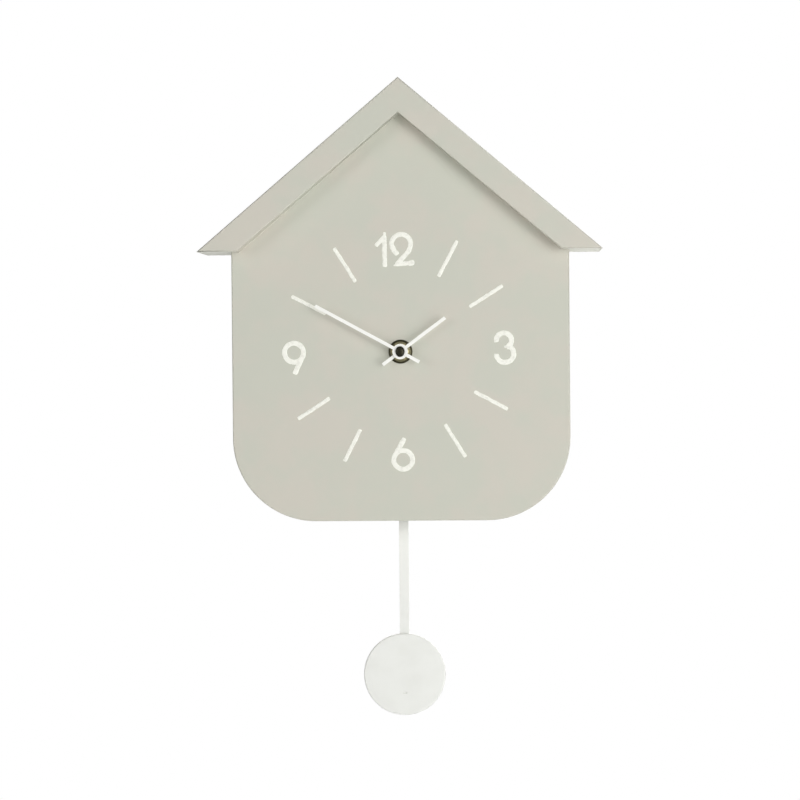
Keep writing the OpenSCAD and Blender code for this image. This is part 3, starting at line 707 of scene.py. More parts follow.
class Bench:
    """Makes pieces from outlines in millimetres and hands them to their bodies."""

    SMOOTH_UP_TO = math.radians(34)
    ROUND_FROM = math.radians(32)
    FLAT_UP_TO = math.radians(0.4)
    JOINED_MM = 0.002
    SAME_POINT_MM = 0.0005

    @classmethod
    def settle(
        cls, mesh: bmesh.types.BMesh, name: str, finish: Finish, body: str,
        replaced: Sequence[str] = (), scale: float = MM,
    ) -> bpy.types.Object:
        """Turns a mesh under way into a piece that rides on its body.

        Args:
            mesh: The mesh, which is used up.
            name: Name of the piece.
            finish: What it is painted or made of.
            body: The body it rides on.
            replaced: Nodes that it stands for.
            scale: Metres in a unit of the mesh.

        Returns:
            The piece.
        """
        bmesh.ops.scale(mesh, vec=(scale,) * 3, verts=mesh.verts)
        bmesh.ops.recalc_face_normals(mesh, faces=mesh.faces)
        data = bpy.data.meshes.new(name)
        mesh.to_mesh(data)
        mesh.free()
        for face in data.polygons:
            face.use_smooth = True
        data.set_sharp_from_angle(angle=cls.SMOOTH_UP_TO)
        data.materials.append(finish.material())
        piece = bpy.data.objects.new(name, data)
        bpy.context.scene.collection.objects.link(piece)
        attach(piece, body)
        if replaced:
            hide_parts(*replaced)
        log.info("%s rides on %s", name, body)
        return piece

    @staticmethod
    def round_edges(
        piece: bpy.types.Object, width_mm: float, steps: int = 3, which: Rounded = Rounded.SHARP
    ) -> None:
        """Rounds a piece's edges.

        Args:
            piece: The piece.
            width_mm: Width of the rounding.
            steps: Facets across it.
            which: All sharp edges, or those that were weighted.
        """
        rounding = piece.modifiers.new("rounded edges", "BEVEL")
        rounding.width = width_mm * MM
        rounding.segments = steps
        rounding.limit_method = which.value
        rounding.angle_limit = Bench.ROUND_FROM
        rounding.harden_normals = True
        rounding.use_clamp_overlap = True

    @classmethod
    def dress(cls, node: str, finish: Finish, width_mm: float = 0.0, steps: int = 2) -> bpy.types.Object:
        """Gives a node its finish and rounds its sharp edges.

        Args:
            node: Name of the node.
            finish: What it is painted or made of.
            width_mm: Width of the rounding, or 0 for none.
            steps: Facets across it.

        Returns:
            The node's object.
        """
        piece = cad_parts[node]
        piece.data.materials.clear()
        piece.data.materials.append(finish.material())
        if width_mm:
            weld = piece.modifiers.new("joined corners", "WELD")
            weld.merge_threshold = cls.JOINED_MM * MM
            cls.round_edges(piece, width_mm, steps)
        log.info("%s wears %s", node, finish.name)
        return piece

    @classmethod
    def cleaned_copy(cls, node: str) -> bmesh.types.BMesh:
        """A node's mesh in millimetres, joined up and with its flats made whole.

        Args:
            node: Name of the node.

        Returns:
            The mesh under way.
        """
        mesh = bmesh.new()
        mesh.from_mesh(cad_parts[node].data)
        bmesh.ops.scale(mesh, vec=(1 / MM,) * 3, verts=mesh.verts)
        bmesh.ops.remove_doubles(mesh, verts=mesh.verts, dist=cls.JOINED_MM)
        bmesh.ops.dissolve_limit(mesh, angle_limit=cls.FLAT_UP_TO, verts=mesh.verts, edges=mesh.edges)
        return mesh

    @classmethod
    def recut(
        cls, node: str, name: str, finish: Finish, body: str, width_mm: float,
        chosen: Callable[[Vector, Vector], bool], steps: int = 3,
    ) -> bpy.types.Object:
        """A copy of a node with some of its sharp edges rounded, which stands for it.

        Args:
            node: Name of the node.
            name: Name of the new piece.
            finish: What it is painted or made of.
            body: The body it rides on.
            width_mm: Width of the rounding.
            chosen: Says of an edge's two ends, in millimetres, whether it is rounded.
            steps: Facets across the rounding.

        Returns:
            The piece.
        """
        mesh = cls.cleaned_copy(node)
        weight = mesh.edges.layers.float.new("bevel_weight_edge")
        for edge in mesh.edges:
            if len(edge.link_faces) != 2 or edge.calc_face_angle() < cls.SMOOTH_UP_TO:
                continue
            if chosen(edge.verts[0].co, edge.verts[1].co):
                edge[weight] = 1.0
        piece = cls.settle(mesh, name, finish, body, (node,))
        cls.round_edges(piece, width_mm, steps, Rounded.CHOSEN)
        return piece

    @staticmethod
    def turned(
        mesh: bmesh.types.BMesh, profile: Sequence[Pair], centre: Pair, spokes: int = 96,
        reach: Callable[[float, float], float] | None = None,
    ) -> None:
        """Adds a body turned about an axis that runs front to back.

        Args:
            mesh: The mesh to add to.
            profile: Radius and depth of each ring, in order.
            centre: Where the axis is, across and up.
            spokes: How many points a ring has.
            reach: Changes a ring's radius at an angle, or None.
        """
        rings: list[list[bmesh.types.BMVert]] = []
        for radius, depth in profile:
            if radius == 0:
                rings.append([mesh.verts.new((centre[0], depth, centre[1]))])
                continue
            ring = []
            for spoke in range(spokes):
                angle = math.tau * spoke / spokes
                length = reach(angle, radius) if reach else radius
                ring.append(mesh.verts.new((
                    centre[0] + length * math.cos(angle), depth, centre[1] + length * math.sin(angle)
                )))
            rings.append(ring)
        for one, two in zip(rings, rings[1:]):
            for spoke in range(spokes):
                after = (spoke + 1) % spokes
                corners = [one[spoke % len(one)], one[after % len(one)],
                           two[after % len(two)], two[spoke % len(two)]]
                unique = list(dict.fromkeys(corners))
                if len(unique) > 2:
                    mesh.faces.new(unique)

    @staticmethod
    def slab(mesh: bmesh.types.BMesh, outline: Outline, front: float, back: float) -> None:
        """Adds a flat plate of one outline.

        Args:
            mesh: The mesh to add to.
            outline: The outline, across and up, anticlockwise.
            front: Depth of the front.
            back: Depth of the back.
        """
        near = [mesh.verts.new((x, front, z)) for x, z in outline]
        far = [mesh.verts.new((x, back, z)) for x, z in outline]
        mesh.faces.new(near)
        mesh.faces.new(far[::-1])
        for index in range(len(outline)):
            after = (index + 1) % len(outline)
            mesh.faces.new([near[index], far[index], far[after], near[after]])


@dataclass(frozen=True)
class Shell:
    """The painted steel case, in millimetres: face, walls, back frame and roof."""

    body: str = "case"
    depth: float = 50.0
    roof_depth: float = 62.0
    fold: float = 1.3
    burr: float = 0.2
    slot_half_w: float = 17.0
    slot_margin: float = 0.5
    below_dial: float = -200.0
    near: float = 0.01

    def _in_plane(self, depth: float) -> Callable[[Vector, Vector], bool]:
        """A test for edges that lie at the depth given."""
        return lambda one, two: max(abs(one.y - depth), abs(two.y - depth)) < self.near

    def _round_slot(self, one: Vector, two: Vector) -> bool:
        """Whether an edge goes round the slot that the pendulum swings in."""
        across = max(abs(one.x), abs(two.x))
        return across < self.slot_half_w + self.slot_margin and max(one.z, two.z) < self.below_dial

    def _ridge_or_rear(self, one: Vector, two: Vector) -> bool:
        """Whether an edge is the roof's ridge or goes round its rear."""
        return max(abs(one.x), abs(two.x)) < self.near or max(abs(one.y), abs(two.y)) < self.near

    def build(self) -> None:
        """Folds the sheets and paints them."""
        front, roof_front = self._in_plane(-self.depth), self._in_plane(-self.roof_depth)
        Bench.recut("face_panel", "face_sheet", GREIGE, self.body, self.fold, front)
        Bench.recut("side_band", "wall_sheet", GREIGE, self.body, self.burr, self._round_slot, 2)
        Bench.recut("roof_fascia", "roof_front", GREIGE, self.body, self.fold, roof_front)
        Bench.recut("roof_sheet", "roof_top", GREIGE, self.body, self.burr, self._ridge_or_rear)
        Bench.dress("back_frame", GREIGE, self.burr)
        # The eave plates wear paint whose undersides are painted paler, as painted bounce light.
        for node in ("eave_plate_left", "eave_plate_right"):
            Bench.dress(node, SOFFIT, self.burr)


@dataclass(frozen=True)
class Dab:
    """A straight brush stroke with squarish ends."""

    start: Pair
    end: Pair
    width: float
    squareness: float = 3.4

    def distance(self, x: np.ndarray, z: np.ndarray) -> np.ndarray:
        """How far points are outside the stroke, negative inside.

        Args:
            x: Places across.
            z: Places up.

        Returns:
            The distances.
        """
        run = math.dist(self.start, self.end)
        ahead = ((self.end[0] - self.start[0]) / run, (self.end[1] - self.start[1]) / run)
        along = (x - self.start[0]) * ahead[0] + (z - self.start[1]) * ahead[1]
        aside = np.abs((x - self.start[0]) * ahead[1] - (z - self.start[1]) * ahead[0])
        past = np.maximum(0, np.maximum(-along, along - run))
        power = self.squareness
        return (past**power + aside**power) ** (1 / power) - self.width / 2


@dataclass(frozen=True)
class Sweep:
    """A curved brush stroke, anticlockwise from one angle to the other."""

    middle: Pair
    radius: float
    width: float
    start_deg: float = 0.0
    end_deg: float = 360.0
    squareness: float = 3.4

    def distance(self, x: np.ndarray, z: np.ndarray) -> np.ndarray:
        """How far points are outside the stroke, negative inside.

        Args:
            x: Places across.
            z: Places up.

        Returns:
            The distances.
        """
        dx, dz = x - self.middle[0], z - self.middle[1]
        aside = np.abs(np.hypot(dx, dz) - self.radius)
        span = self.end_deg - self.start_deg
        turned = np.mod(np.degrees(np.arctan2(dz, dx)) - self.start_deg, 360.0)
        beyond = np.where(turned > span, np.minimum(turned - span, 360.0 - turned), 0.0)
        past = np.radians(beyond) * self.radius
        power = self.squareness
        return (past**power + aside**power) ** (1 / power) - self.width / 2


Stroke = Union[Dab, Sweep]


@dataclass(frozen=True)
class HourMark:
    """One painted hour mark: how far out its middle is, its length and how far round it strays."""

    hour: int
    out: float
    length: float
    stray_deg: float
    squareness: float = 3.6

    def stroke(self, width: float) -> Dab:
        """The brush stroke that paints it.

        Args:
            width: Width of the brush.

        Returns:
            The stroke.
        """
        angle = math.radians(90 - 30 * self.hour + self.stray_deg)
        reach = (self.length - width) / 2
        near, far = self.out - reach, self.out + reach
        return Dab(
            (near * math.cos(angle), near * math.sin(angle)),
            (far * math.cos(angle), far * math.sin(angle)), width, self.squareness,
        )


@dataclass(frozen=True)
class Print:
    """The painted numerals and hour marks, in millimetres from the middle of the dial."""

    body: str = "case"
    face_depth: float = -50.0
    dial_height: float = -125.0
    film: float = 0.25
    lean_deg: float = 1.8
    cell: float = 0.26
    margin: float = 3.0
    wobble: float = 0.2
    slow_grain: float = 3.1
    fast_grain: float = 0.9
    fast_share: float = 0.55
    off_centre: Pair = (-0.5, -0.1)
    mark_width: float = 2.32
    upright_reach: float = 64.2
    level_reach: float = 66.0
    marks: tuple[HourMark, ...] = (
        HourMark(1, 65.3, 25.4, 0.41), HourMark(2, 63.9, 24.7, 0.47), HourMark(4, 64.5, 23.8, -0.32),
        HourMark(5, 65.3, 24.2, -0.27), HourMark(7, 65.6, 22.6, 0.91), HourMark(8, 64.4, 23.8, 1.16),
        HourMark(10, 64.0, 24.0, 0.6), HourMark(11, 64.1, 25.3, 0.12),
    )

    def _figures(self) -> dict[str, tuple[Pair, list[Stroke]]]:
        """The brush strokes of the numerals.

        Returns:
            Each numeral's middle and the strokes round it.
        """
        return {
            "numeral_12": ((0.0, self.upright_reach), [
                Dab((-7.1, -9.6), (-6.9, 7.4), 2.87),
                Dab((-7.4, 7.4), (-11.57, 3.1), 2.65),
                Dab((-6.85, 7.0), (-6.7, 9.9), 1.79),
                Sweep((3.46, 2.97), 5.93, 3.0, -22, 196),
                Dab((-2.2, 1.6), (-0.75, -1.3), 3.05),
                Dab((-0.75, -1.3), (0.18, -2.48), 3.05),
                Dab((8.85, 0.4), (8.0, -1.66), 2.97),
                Dab((8.0, -1.66), (6.33, -3.4), 2.97),
                Dab((6.33, -3.4), (1.0, -9.0), 2.97),
                Dab((0.6, -9.5), (9.5, -9.3), 2.8),
                Dab((9.0, -9.2), (9.6, -9.1), 3.45),
                Dab((1.6, -9.3), (-1.3, -10.3), 1.05),
            ]),
            "numeral_3": ((self.level_reach, 0.0), [
                Sweep((-0.86, 4.53), 4.67, 3.27, -52, 172, 5.0),
                Sweep((-0.48, -3.84), 5.39, 3.22, -166.8, 60, 5.0),
                Dab((-0.13, 0.56), (2.2, 0.4), 1.58),
            ]),
            "numeral_6": ((0.0, -self.upright_reach), [
                Sweep((-0.55, -3.27), 5.85, 3.09), Dab((0.15, 9.1), (-5.5, -0.3), 3.05),
            ]),
            "numeral_9": ((-self.level_reach, 0.0), [
                Sweep((-0.14, 2.04), 5.95, 3.14), Dab((4.75, -1.3), (0.33, -9.95), 3.16),
            ]),
        }

    def build(self) -> None:
        """Paints every numeral and mark."""
        for name, (middle, strokes) in self._figures().items():
            mesh = bmesh.new()
            self._paint(mesh, strokes, middle)
            Bench.settle(mesh, f"painted_{name}", PRINT, self.body, (name,))
        mesh = bmesh.new()
        for mark in self.marks:
            self._paint(mesh, [mark.stroke(self.mark_width)], (0.0, 0.0))
        Bench.settle(mesh, "painted_hour_marks", PRINT, self.body, ("hour_marks",))

    def _paint(self, mesh: bmesh.types.BMesh, strokes: list[Stroke], middle: Pair) -> None:
        """Adds the film of paint that some strokes leave.

        Args:
            mesh: The mesh to add to.
            strokes: The strokes.
            middle: What their coordinates start from.
        """
        points = self._ends(strokes)
        low = points.min(0) - self.margin
        high = points.max(0) + self.margin
        across = np.arange(low[0], high[0], self.cell)
        up = np.arange(low[1], high[1], self.cell)
        x, z = np.meshgrid(across, up, indexing="ij")
        field = np.minimum.reduce([stroke.distance(x, z) for stroke in strokes])
        uneven = np.array([
            [self._hand_wobble(a + middle[0], b + middle[1]) for b in up] for a in across
        ])
        Film(self, middle).add(mesh, x, z, field + uneven)

    def _hand_wobble(self, x: float, z: float) -> float:
        """How far the paint's edge strays at a place.

        Args:
            x: Place across, from the dial's middle.
            z: Place up.

        Returns:
            How far, in millimetres.
        """
        slow = noise.noise(Vector((x / self.slow_grain, 7.0, z / self.slow_grain)))
        fast = noise.noise(Vector((x / self.fast_grain, 31.0, z / self.fast_grain)))
        return self.wobble * (slow + self.fast_share * fast)

    @staticmethod
    def _ends(strokes: list[Stroke]) -> np.ndarray:
        """Points that the strokes stay within a stroke's width of.

        Args:
            strokes: The strokes.

        Returns:
            The points, one a row.
        """
        found: list[Pair] = []
        for stroke in strokes:
            if isinstance(stroke, Dab):
                found += [stroke.start, stroke.end]
            else:
                cx, cz = stroke.middle
                found += [(cx - stroke.radius, cz - stroke.radius), (cx + stroke.radius, cz + stroke.radius)]
        return np.array(found)


class Film:
    """A film of paint meshed over the cells where a field is below zero."""

    CORNERS = ((0, 0), (1, 0), (1, 1), (0, 1))
    SWELL_MM = 0.45
    RIDGE_MM = 0.7
    RIM_SHARE = 0.16
    BODY_SHARE = 0.58
    RIDGE_SHARE = 0.26
    NEAREST_CUT = 0.02

    def __init__(self, print_: Print, middle: Pair) -> None:
        """Keeps where the film lies.

        Args:
            print_: The print that the film is part of.
            middle: What its coordinates start from.
        """
        self.print = print_
        self.middle = middle
        lean = math.radians(print_.lean_deg)
        self.lean = (math.cos(lean), math.sin(lean))
        self.made: dict[tuple[object, ...], tuple[bmesh.types.BMVert, bmesh.types.BMVert]] = {}

    def _pair(
        self, mesh: bmesh.types.BMesh, key: tuple[object, ...], x: float, z: float, inside: float
    ) -> tuple[bmesh.types.BMVert, bmesh.types.BMVert]:
        """The vertex on the paint and the one on the steel behind it.

        Args:
            mesh: The mesh to add to.
            key: What names the point.
            x: Place across, from the numeral's middle.
            z: Place up.
            inside: How far it is from the paint's edge.

        Returns:
            The two vertices.
        """
        if key not in self.made:
            px, pz = x + self.middle[0], z + self.middle[1]
            wx = self.print.off_centre[0] + px * self.lean[0] - pz * self.lean[1]
            wz = self.print.off_centre[1] + px * self.lean[1] + pz * self.lean[0]
            swell = min(1.0, inside / self.SWELL_MM)
            ridge = 0.5 + 0.5 * noise.noise(Vector((px / self.RIDGE_MM, 3.0, pz / self.RIDGE_MM)))
            body = self.BODY_SHARE + self.RIDGE_SHARE * ridge
            thick = self.print.film * (self.RIM_SHARE + body * math.sin(swell * math.pi / 2))
            height = self.print.dial_height + wz
            self.made[key] = (
                mesh.verts.new((wx, self.print.face_depth - thick, height)),
                mesh.verts.new((wx, self.print.face_depth, height)),
            )
        return self.made[key]

    def add(self, mesh: bmesh.types.BMesh, x: np.ndarray, z: np.ndarray, field: np.ndarray) -> None:
        """Meshes the film, front, back and rim.

        Args:
            mesh: The mesh to add to.
            x: Places across, one a grid point.
            z: Places up.
            field: How far outside the paint each point is.
        """
        inside = field < 0
        touched = (
            inside[:-1, :-1] | inside[1:, :-1] | inside[1:, 1:] | inside[:-1, 1:]
        )
        for i, j in zip(*np.nonzero(touched)):
            ring = []
            for step in range(4):
                a = (i + self.CORNERS[step][0], j + self.CORNERS[step][1])
                after = self.CORNERS[(step + 1) % 4]
                b = (i + after[0], j + after[1])
                if inside[a]:
                    ring.append((self._pair(mesh, ("at", *a), x[a], z[a], -field[a]), False))
                if inside[a] != inside[b]:
                    share = field[a] / (field[a] - field[b])
                    share = min(1 - self.NEAREST_CUT, max(self.NEAREST_CUT, share))
                    px = x[a] + share * (x[b] - x[a])
                    pz = z[a] + share * (z[b] - z[a])
                    ring.append((self._pair(mesh, ("cut", *sorted((a, b))), px, pz, 0.0), True))
            if len(ring) < 3:
                continue
            front = [pair[0] for pair, _ in ring]
            mesh.faces.new(front)
            mesh.faces.new([pair[1] for pair, _ in ring][::-1])
            for index, (pair, cut) in enumerate(ring):
                after, after_cut = ring[(index + 1) % len(ring)]
                if cut and after_cut:
                    mesh.faces.new([pair[0], pair[1], after[1], after[0]])


@dataclass(frozen=True)
class CentreFitting:
    """The washer, nut and gasket that hold the movement in the face, in millimetres."""

    body: str = "case"
    centre: Pair = (0.0, -125.0)
    face_depth: float = -50.0
    bore_r: float = 4.02
    washer_r: float = 7.5
    washer_top_r: float = 6.05
    washer_t: float = 1.0
    washer_edge: float = 0.3
    washer_edge_share: float = 0.7
    washer_bevel: float = 0.12
    washer_steps: tuple[Pair, ...] = (
        (0.5, 0.28), (0.15, 0.07), (-0.15, 0.0), (-0.4, 0.0), (-0.5, 0.08), (-0.62, 0.0),
    )
    bore_edge: float = 0.2
    nut_flats: float = 10.0
    nut_h: float = 2.2
    nut_steps: tuple[Pair, ...] = ((9.0, 0.55), (5.45, 0.22), (5.05, 0.0))

    def build(self) -> None:
        """Turns the washer and the nut and dresses the gasket."""
        self._washer()
        self._nut()
        Bench.dress("gasket", BLACK_RUBBER, 0.1)

    def _washer(self) -> None:
        """A dished washer with a soft shoulder and a turned groove in its face."""
        back, front = self.face_depth, self.face_depth - self.washer_t
        profile = [
            (self.bore_r, back), (self.washer_r, back),
            (self.washer_r, back - self.washer_edge * self.washer_edge_share),
            (self.washer_r - self.washer_bevel, back - self.washer_edge),
            *[(self.washer_top_r + out, front + down) for out, down in self.washer_steps],
            (self.bore_r + self.bore_edge, front), (self.bore_r, front + self.bore_edge),
            (self.bore_r, back),
        ]
        mesh = bmesh.new()
        Bench.turned(mesh, profile, self.centre, spokes=128)
        bmesh.ops.remove_doubles(mesh, verts=mesh.verts, dist=Bench.SAME_POINT_MM)
        Bench.settle(mesh, "hub_washer", DARK_BRASS, self.body, ("washer",))

    def _hex_reach(self, angle: float, radius: float) -> float:
        """How far a hexagon or a smaller circle reaches at an angle."""
        turn = math.fmod(angle, math.tau / 6) - math.tau / 12
        return min(radius, self.nut_flats / 2 / math.cos(turn))

    def _nut(self) -> None:
        """A hexagon nut with its corners turned off at the front."""
        back = self.face_depth - self.washer_t
        front = back - self.nut_h
        profile = [
            (self.bore_r, back), (self.nut_steps[0][0], back),
            *[(radius, front + down) for radius, down in self.nut_steps],
            (self.bore_r + self.bore_edge, front), (self.bore_r, front + self.bore_edge),
            (self.bore_r, back),
        ]
        mesh = bmesh.new()
        Bench.turned(mesh, profile, self.centre, reach=self._hex_reach)
        bmesh.ops.remove_doubles(mesh, verts=mesh.verts, dist=Bench.SAME_POINT_MM)
        Bench.settle(mesh, "hub_nut", NUT_BRASS, self.body, ("centre_nut",))


@dataclass(frozen=True)
class HandSet:
    """Both hands and the nut that holds them, in millimetres."""

    centre: Pair = (0.0, -125.0)
    minute_depth: float = -57.6
    nut_across: float = 2.85
    nut_up: float = 3.35
    nut_h: float = 2.0
    dome_h: float = 0.75
    dome_share: float = 0.9
    dome_steps: int = 7
    foot: tuple[Pair, ...] = ((0.55, 0.0), (1.0, 0.0), (1.0, 0.35), (0.94, 0.45))
    foot_to_dome: float = 0.1
    pressed_edge: float = 0.12

    def build(self) -> None:
        """Enamels the hands and turns the nut."""
        Bench.dress("hour_hand", HAND_ENAMEL, self.pressed_edge)
        Bench.dress("minute_hand", HAND_ENAMEL, self.pressed_edge)
        self._minute_nut()
        Bench.dress("minute_arbor", ARBOR_BRASS, 0.05)
        Bench.dress("clutch_spring", STEEL)
        Bench.dress("hour_wheel", WHITE_MOULDING)

    def _oval_reach(self, angle: float, radius: float) -> float:
        """How far the oval cap reaches at an angle."""
        across, up = math.cos(angle) / self.nut_across, math.sin(angle) / self.nut_up
        return radius / math.hypot(across, up)

    def _minute_nut(self) -> None:
        """An oval cap with a low dome and a stepped foot."""
        back, front = self.minute_depth, self.minute_depth - self.nut_h
        angles = [math.pi / 2 * step / self.dome_steps for step in range(self.dome_steps)]
        dome = [
            (math.cos(a) * self.dome_share, front + self.dome_h * (1 - math.sin(a))) for a in angles
        ]
        profile = [
            *[(share, back - up) for share, up in self.foot],
            (self.foot[-1][0], front + self.dome_h + self.foot_to_dome), *dome, (0.0, front),
        ]
        mesh = bmesh.new()
        Bench.turned(mesh, profile, self.centre, spokes=72, reach=self._oval_reach)
        rim = [edge for edge in mesh.edges if edge.is_boundary]
        bmesh.ops.contextual_create(mesh, geom=rim)
        Bench.settle(mesh, "hand_cap", CAP_BRASS, "minute_hand", ("minute_nut",))


@dataclass(frozen=True)
class Movement:
    """The quartz movement behind the face, in millimetres."""

    body: str = "case"
    centre_height: float = -125.0
    back_depth: float = -24.0
    seam_depth: float = -25.4
    sunk: float = 0.05
    mark_h: float = 0.3
    rim_h: float = 0.35
    rim_w: float = 0.7
    rim_inset: float = 1.1
    bay_x: float = -18.25
    bay_half_w: float = 7.95
    bay_top: float = -13.2
    bay_bottom: float = -66.2
    plus_up: float = -9.2
    minus_up: float = -70.0
    mark_l: float = 4.0
    mark_w: float = 0.9
    knob_at: Pair = (-13.66, 13.66)
    knob_back: float = -20.2
    arrow_r: float = 8.6
    arrow_half: float = 0.35
    arrow_head: float = 0.9
    arrow_tip_angle: float = 0.3
    arrow_from_deg: int = 20
    arrow_to_deg: int = 160
    arrow_step_deg: int = 5
    pins: tuple[Pair, ...] = ((22.0, 23.0), (22.0, -26.0), (22.0, -67.0), (-22.0, 23.5))
    pin_r: float = 2.4
    clip_l: float = 7.0
    clips_up: Pair = (6.0, -58.0)
    clip_front: float = 3.2
    clip_back: float = 0.7
    rim_edge: float = 0.1
    knob_ring_rs: Pair = (1.6, 4.3)

    def build(self) -> None:
        """Dresses the housing, its works and what is moulded on its cover."""
        for node in ("movement_case", "movement_cover"):
            Bench.dress(node, BLACK_MOULDING, 0.3)
        for node in ("rotor", "fifth_wheel", "fourth_wheel", "third_wheel", "centre_wheel", "minute_wheel"):
            Bench.dress(node, WHITE_MOULDING)
        Bench.dress("setting_knob", WHITE_MOULDING, 0.12)
        Bench.dress("circuit_board", LAMINATE, 0.08)
        Bench.dress("chip", CHIP_RESIN, 0.35)
        Bench.dress("quartz_crystal", STEEL, 0.15)
        Bench.dress("stator", LAMINATION, 0.08)
        for node in ("motor_coil", "pendulum_coil"):
            Bench.dress(node, WINDING, 0.1)
        for node in ("plus_contact", "minus_contact"):
            Bench.dress(node, STEEL, 0.06)
        Bench.dress("pivot_pin", STEEL, 0.12)
        self._marks()
        self._rims()
        self._knob_rings()

    def _bar(self, mesh: bmesh.types.BMesh, at: Pair, wide: float, high: float, raised: float) -> None:
        """Adds one raised bar.

        Args:
            mesh: The mesh to add to.
            at: Its middle, across and up from the dial's middle.
            wide: Its width.
            high: Its height.
            raised: How far it stands out of the cover.
        """
        x, z = at[0], self.centre_height + at[1]
        outline = [
            (x - wide / 2, z - high / 2), (x + wide / 2, z - high / 2),
            (x + wide / 2, z + high / 2), (x - wide / 2, z + high / 2),
        ]
        Bench.slab(mesh, outline, self.back_depth - self.sunk, self.back_depth + raised)

    def _frame(self, mesh: bmesh.types.BMesh, left: float, right: float, low: float, high: float) -> None:
        """Adds a raised rim round a rectangle, mitred into one band.

        Args:
            mesh: The mesh to add to.
            left: The rectangle's left side.
            right: Its right side.
            low: Its lower side, from the dial's middle.
            high: Its upper side.
        """
        corners = ((left, low, 1, 1), (right, low, -1, 1), (right, high, -1, -1), (left, high, 1, -1))
        depths = (self.back_depth - self.sunk, self.back_depth + self.rim_h)
        rings = []
        for inward, depth in ((0, depths[0]), (0, depths[1]), (1, depths[1]), (1, depths[0])):
            rings.append([
                mesh.verts.new((
                    x + inward * self.rim_w * sx, depth, self.centre_height + z + inward * self.rim_w * sz
                ))
                for x, z, sx, sz in corners
            ])
        for one, two in zip(rings, rings[1:] + rings[:1]):
            for index in range(len(corners)):
                after = (index + 1) % len(corners)
                mesh.faces.new([one[index], one[after], two[after], two[index]])

    def _ring(self, mesh: bmesh.types.BMesh, at: Pair, radius: float, base: float, raised: float) -> None:
        """Adds one raised ring.

        Args:
            mesh: The mesh to add to.
            at: Its middle, across and up from the dial's middle.
            radius: Radius of its middle line.
            base: Depth of the face that it stands on.
            raised: How far it stands out of that face.
        """
        inner, outer = radius - self.rim_w / 2, radius + self.rim_w / 2
        top = base + raised
        profile = [
            (inner, base - self.sunk), (inner, top), (outer, top), (outer, base - self.sunk),
            (inner, base - self.sunk),
        ]
        Bench.turned(mesh, profile, (at[0], self.centre_height + at[1]), spokes=48)
        bmesh.ops.remove_doubles(mesh, verts=mesh.verts, dist=Bench.SAME_POINT_MM)

    def _marks(self) -> None:
        """The plus and minus by the battery bay and the arrow round the setting knob."""
        mesh = bmesh.new()
        self._bar(mesh, (self.bay_x, self.plus_up), self.mark_l, self.mark_w, self.mark_h)
        for side in (-1, 1):
            arm = (self.mark_l - self.mark_w) / 2
            middle = self.plus_up + side * (self.mark_w + arm) / 2
            self._bar(mesh, (self.bay_x, middle), self.mark_w, arm, self.mark_h)
        self._bar(mesh, (self.bay_x, self.minus_up), self.mark_l, self.mark_w, self.mark_h)
        inner, outer = self.arrow_r - self.arrow_half, self.arrow_r + self.arrow_half
        degrees = range(self.arrow_from_deg, self.arrow_to_deg + 1, self.arrow_step_deg)
        spread = [math.radians(angle) for angle in degrees]
        cx, cz = self.knob_at[0], self.centre_height + self.knob_at[1]
        tip = spread[-1]
        around = [(outer, a) for a in spread]
        around += [
            (outer + self.arrow_head, tip), (self.arrow_r, tip + self.arrow_tip_angle),
            (inner - self.arrow_head, tip),
        ]
        around += [(inner, a) for a in spread[::-1]]
        arc = [(cx + r * math.cos(a), cz + r * math.sin(a)) for r, a in around]
        Bench.slab(mesh, arc, self.back_depth - self.sunk, self.back_depth + self.mark_h)
        Bench.settle(mesh, "cover_marks", RUBBED_MOULDING, self.body)

    def _rims(self) -> None:
        """The rims round the cover and its battery bay, the ejector rings and the side clips."""
        low, high = (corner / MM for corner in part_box("movement_case"))
        mesh = bmesh.new()
        self._frame(
            mesh, low.x + self.rim_inset, high.x - self.rim_inset,
            low.z - self.centre_height + self.rim_inset, high.z - self.centre_height - self.rim_inset,
        )
        self._frame(
            mesh, self.bay_x - self.bay_half_w, self.bay_x + self.bay_half_w,
            self.bay_bottom, self.bay_top,
        )
        for pin in self.pins:
            self._ring(mesh, pin, self.pin_r, self.back_depth, self.mark_h)
        for side in (low.x, high.x):
            for up in self.clips_up:
                z = self.centre_height + up
                outline = [
                    (side - self.rim_h, z - self.clip_l / 2), (side + self.rim_h, z - self.clip_l / 2),
                    (side + self.rim_h, z + self.clip_l / 2), (side - self.rim_h, z + self.clip_l / 2),
                ]
                Bench.slab(
                    mesh, outline, self.seam_depth - self.clip_front, self.seam_depth + self.clip_back
                )
        rims = Bench.settle(mesh, "cover_rims", RUBBED_MOULDING, self.body)
        Bench.round_edges(rims, self.rim_edge, steps=2)

    def _knob_rings(self) -> None:
        """Two rings turned in the setting knob's face."""
        mesh = bmesh.new()
        for radius in self.knob_ring_rs:
            self._ring(mesh, self.knob_at, radius, self.knob_back, self.mark_h)
        Bench.settle(mesh, "knob_rings", KNOB_GROOVE, "setting_knob")


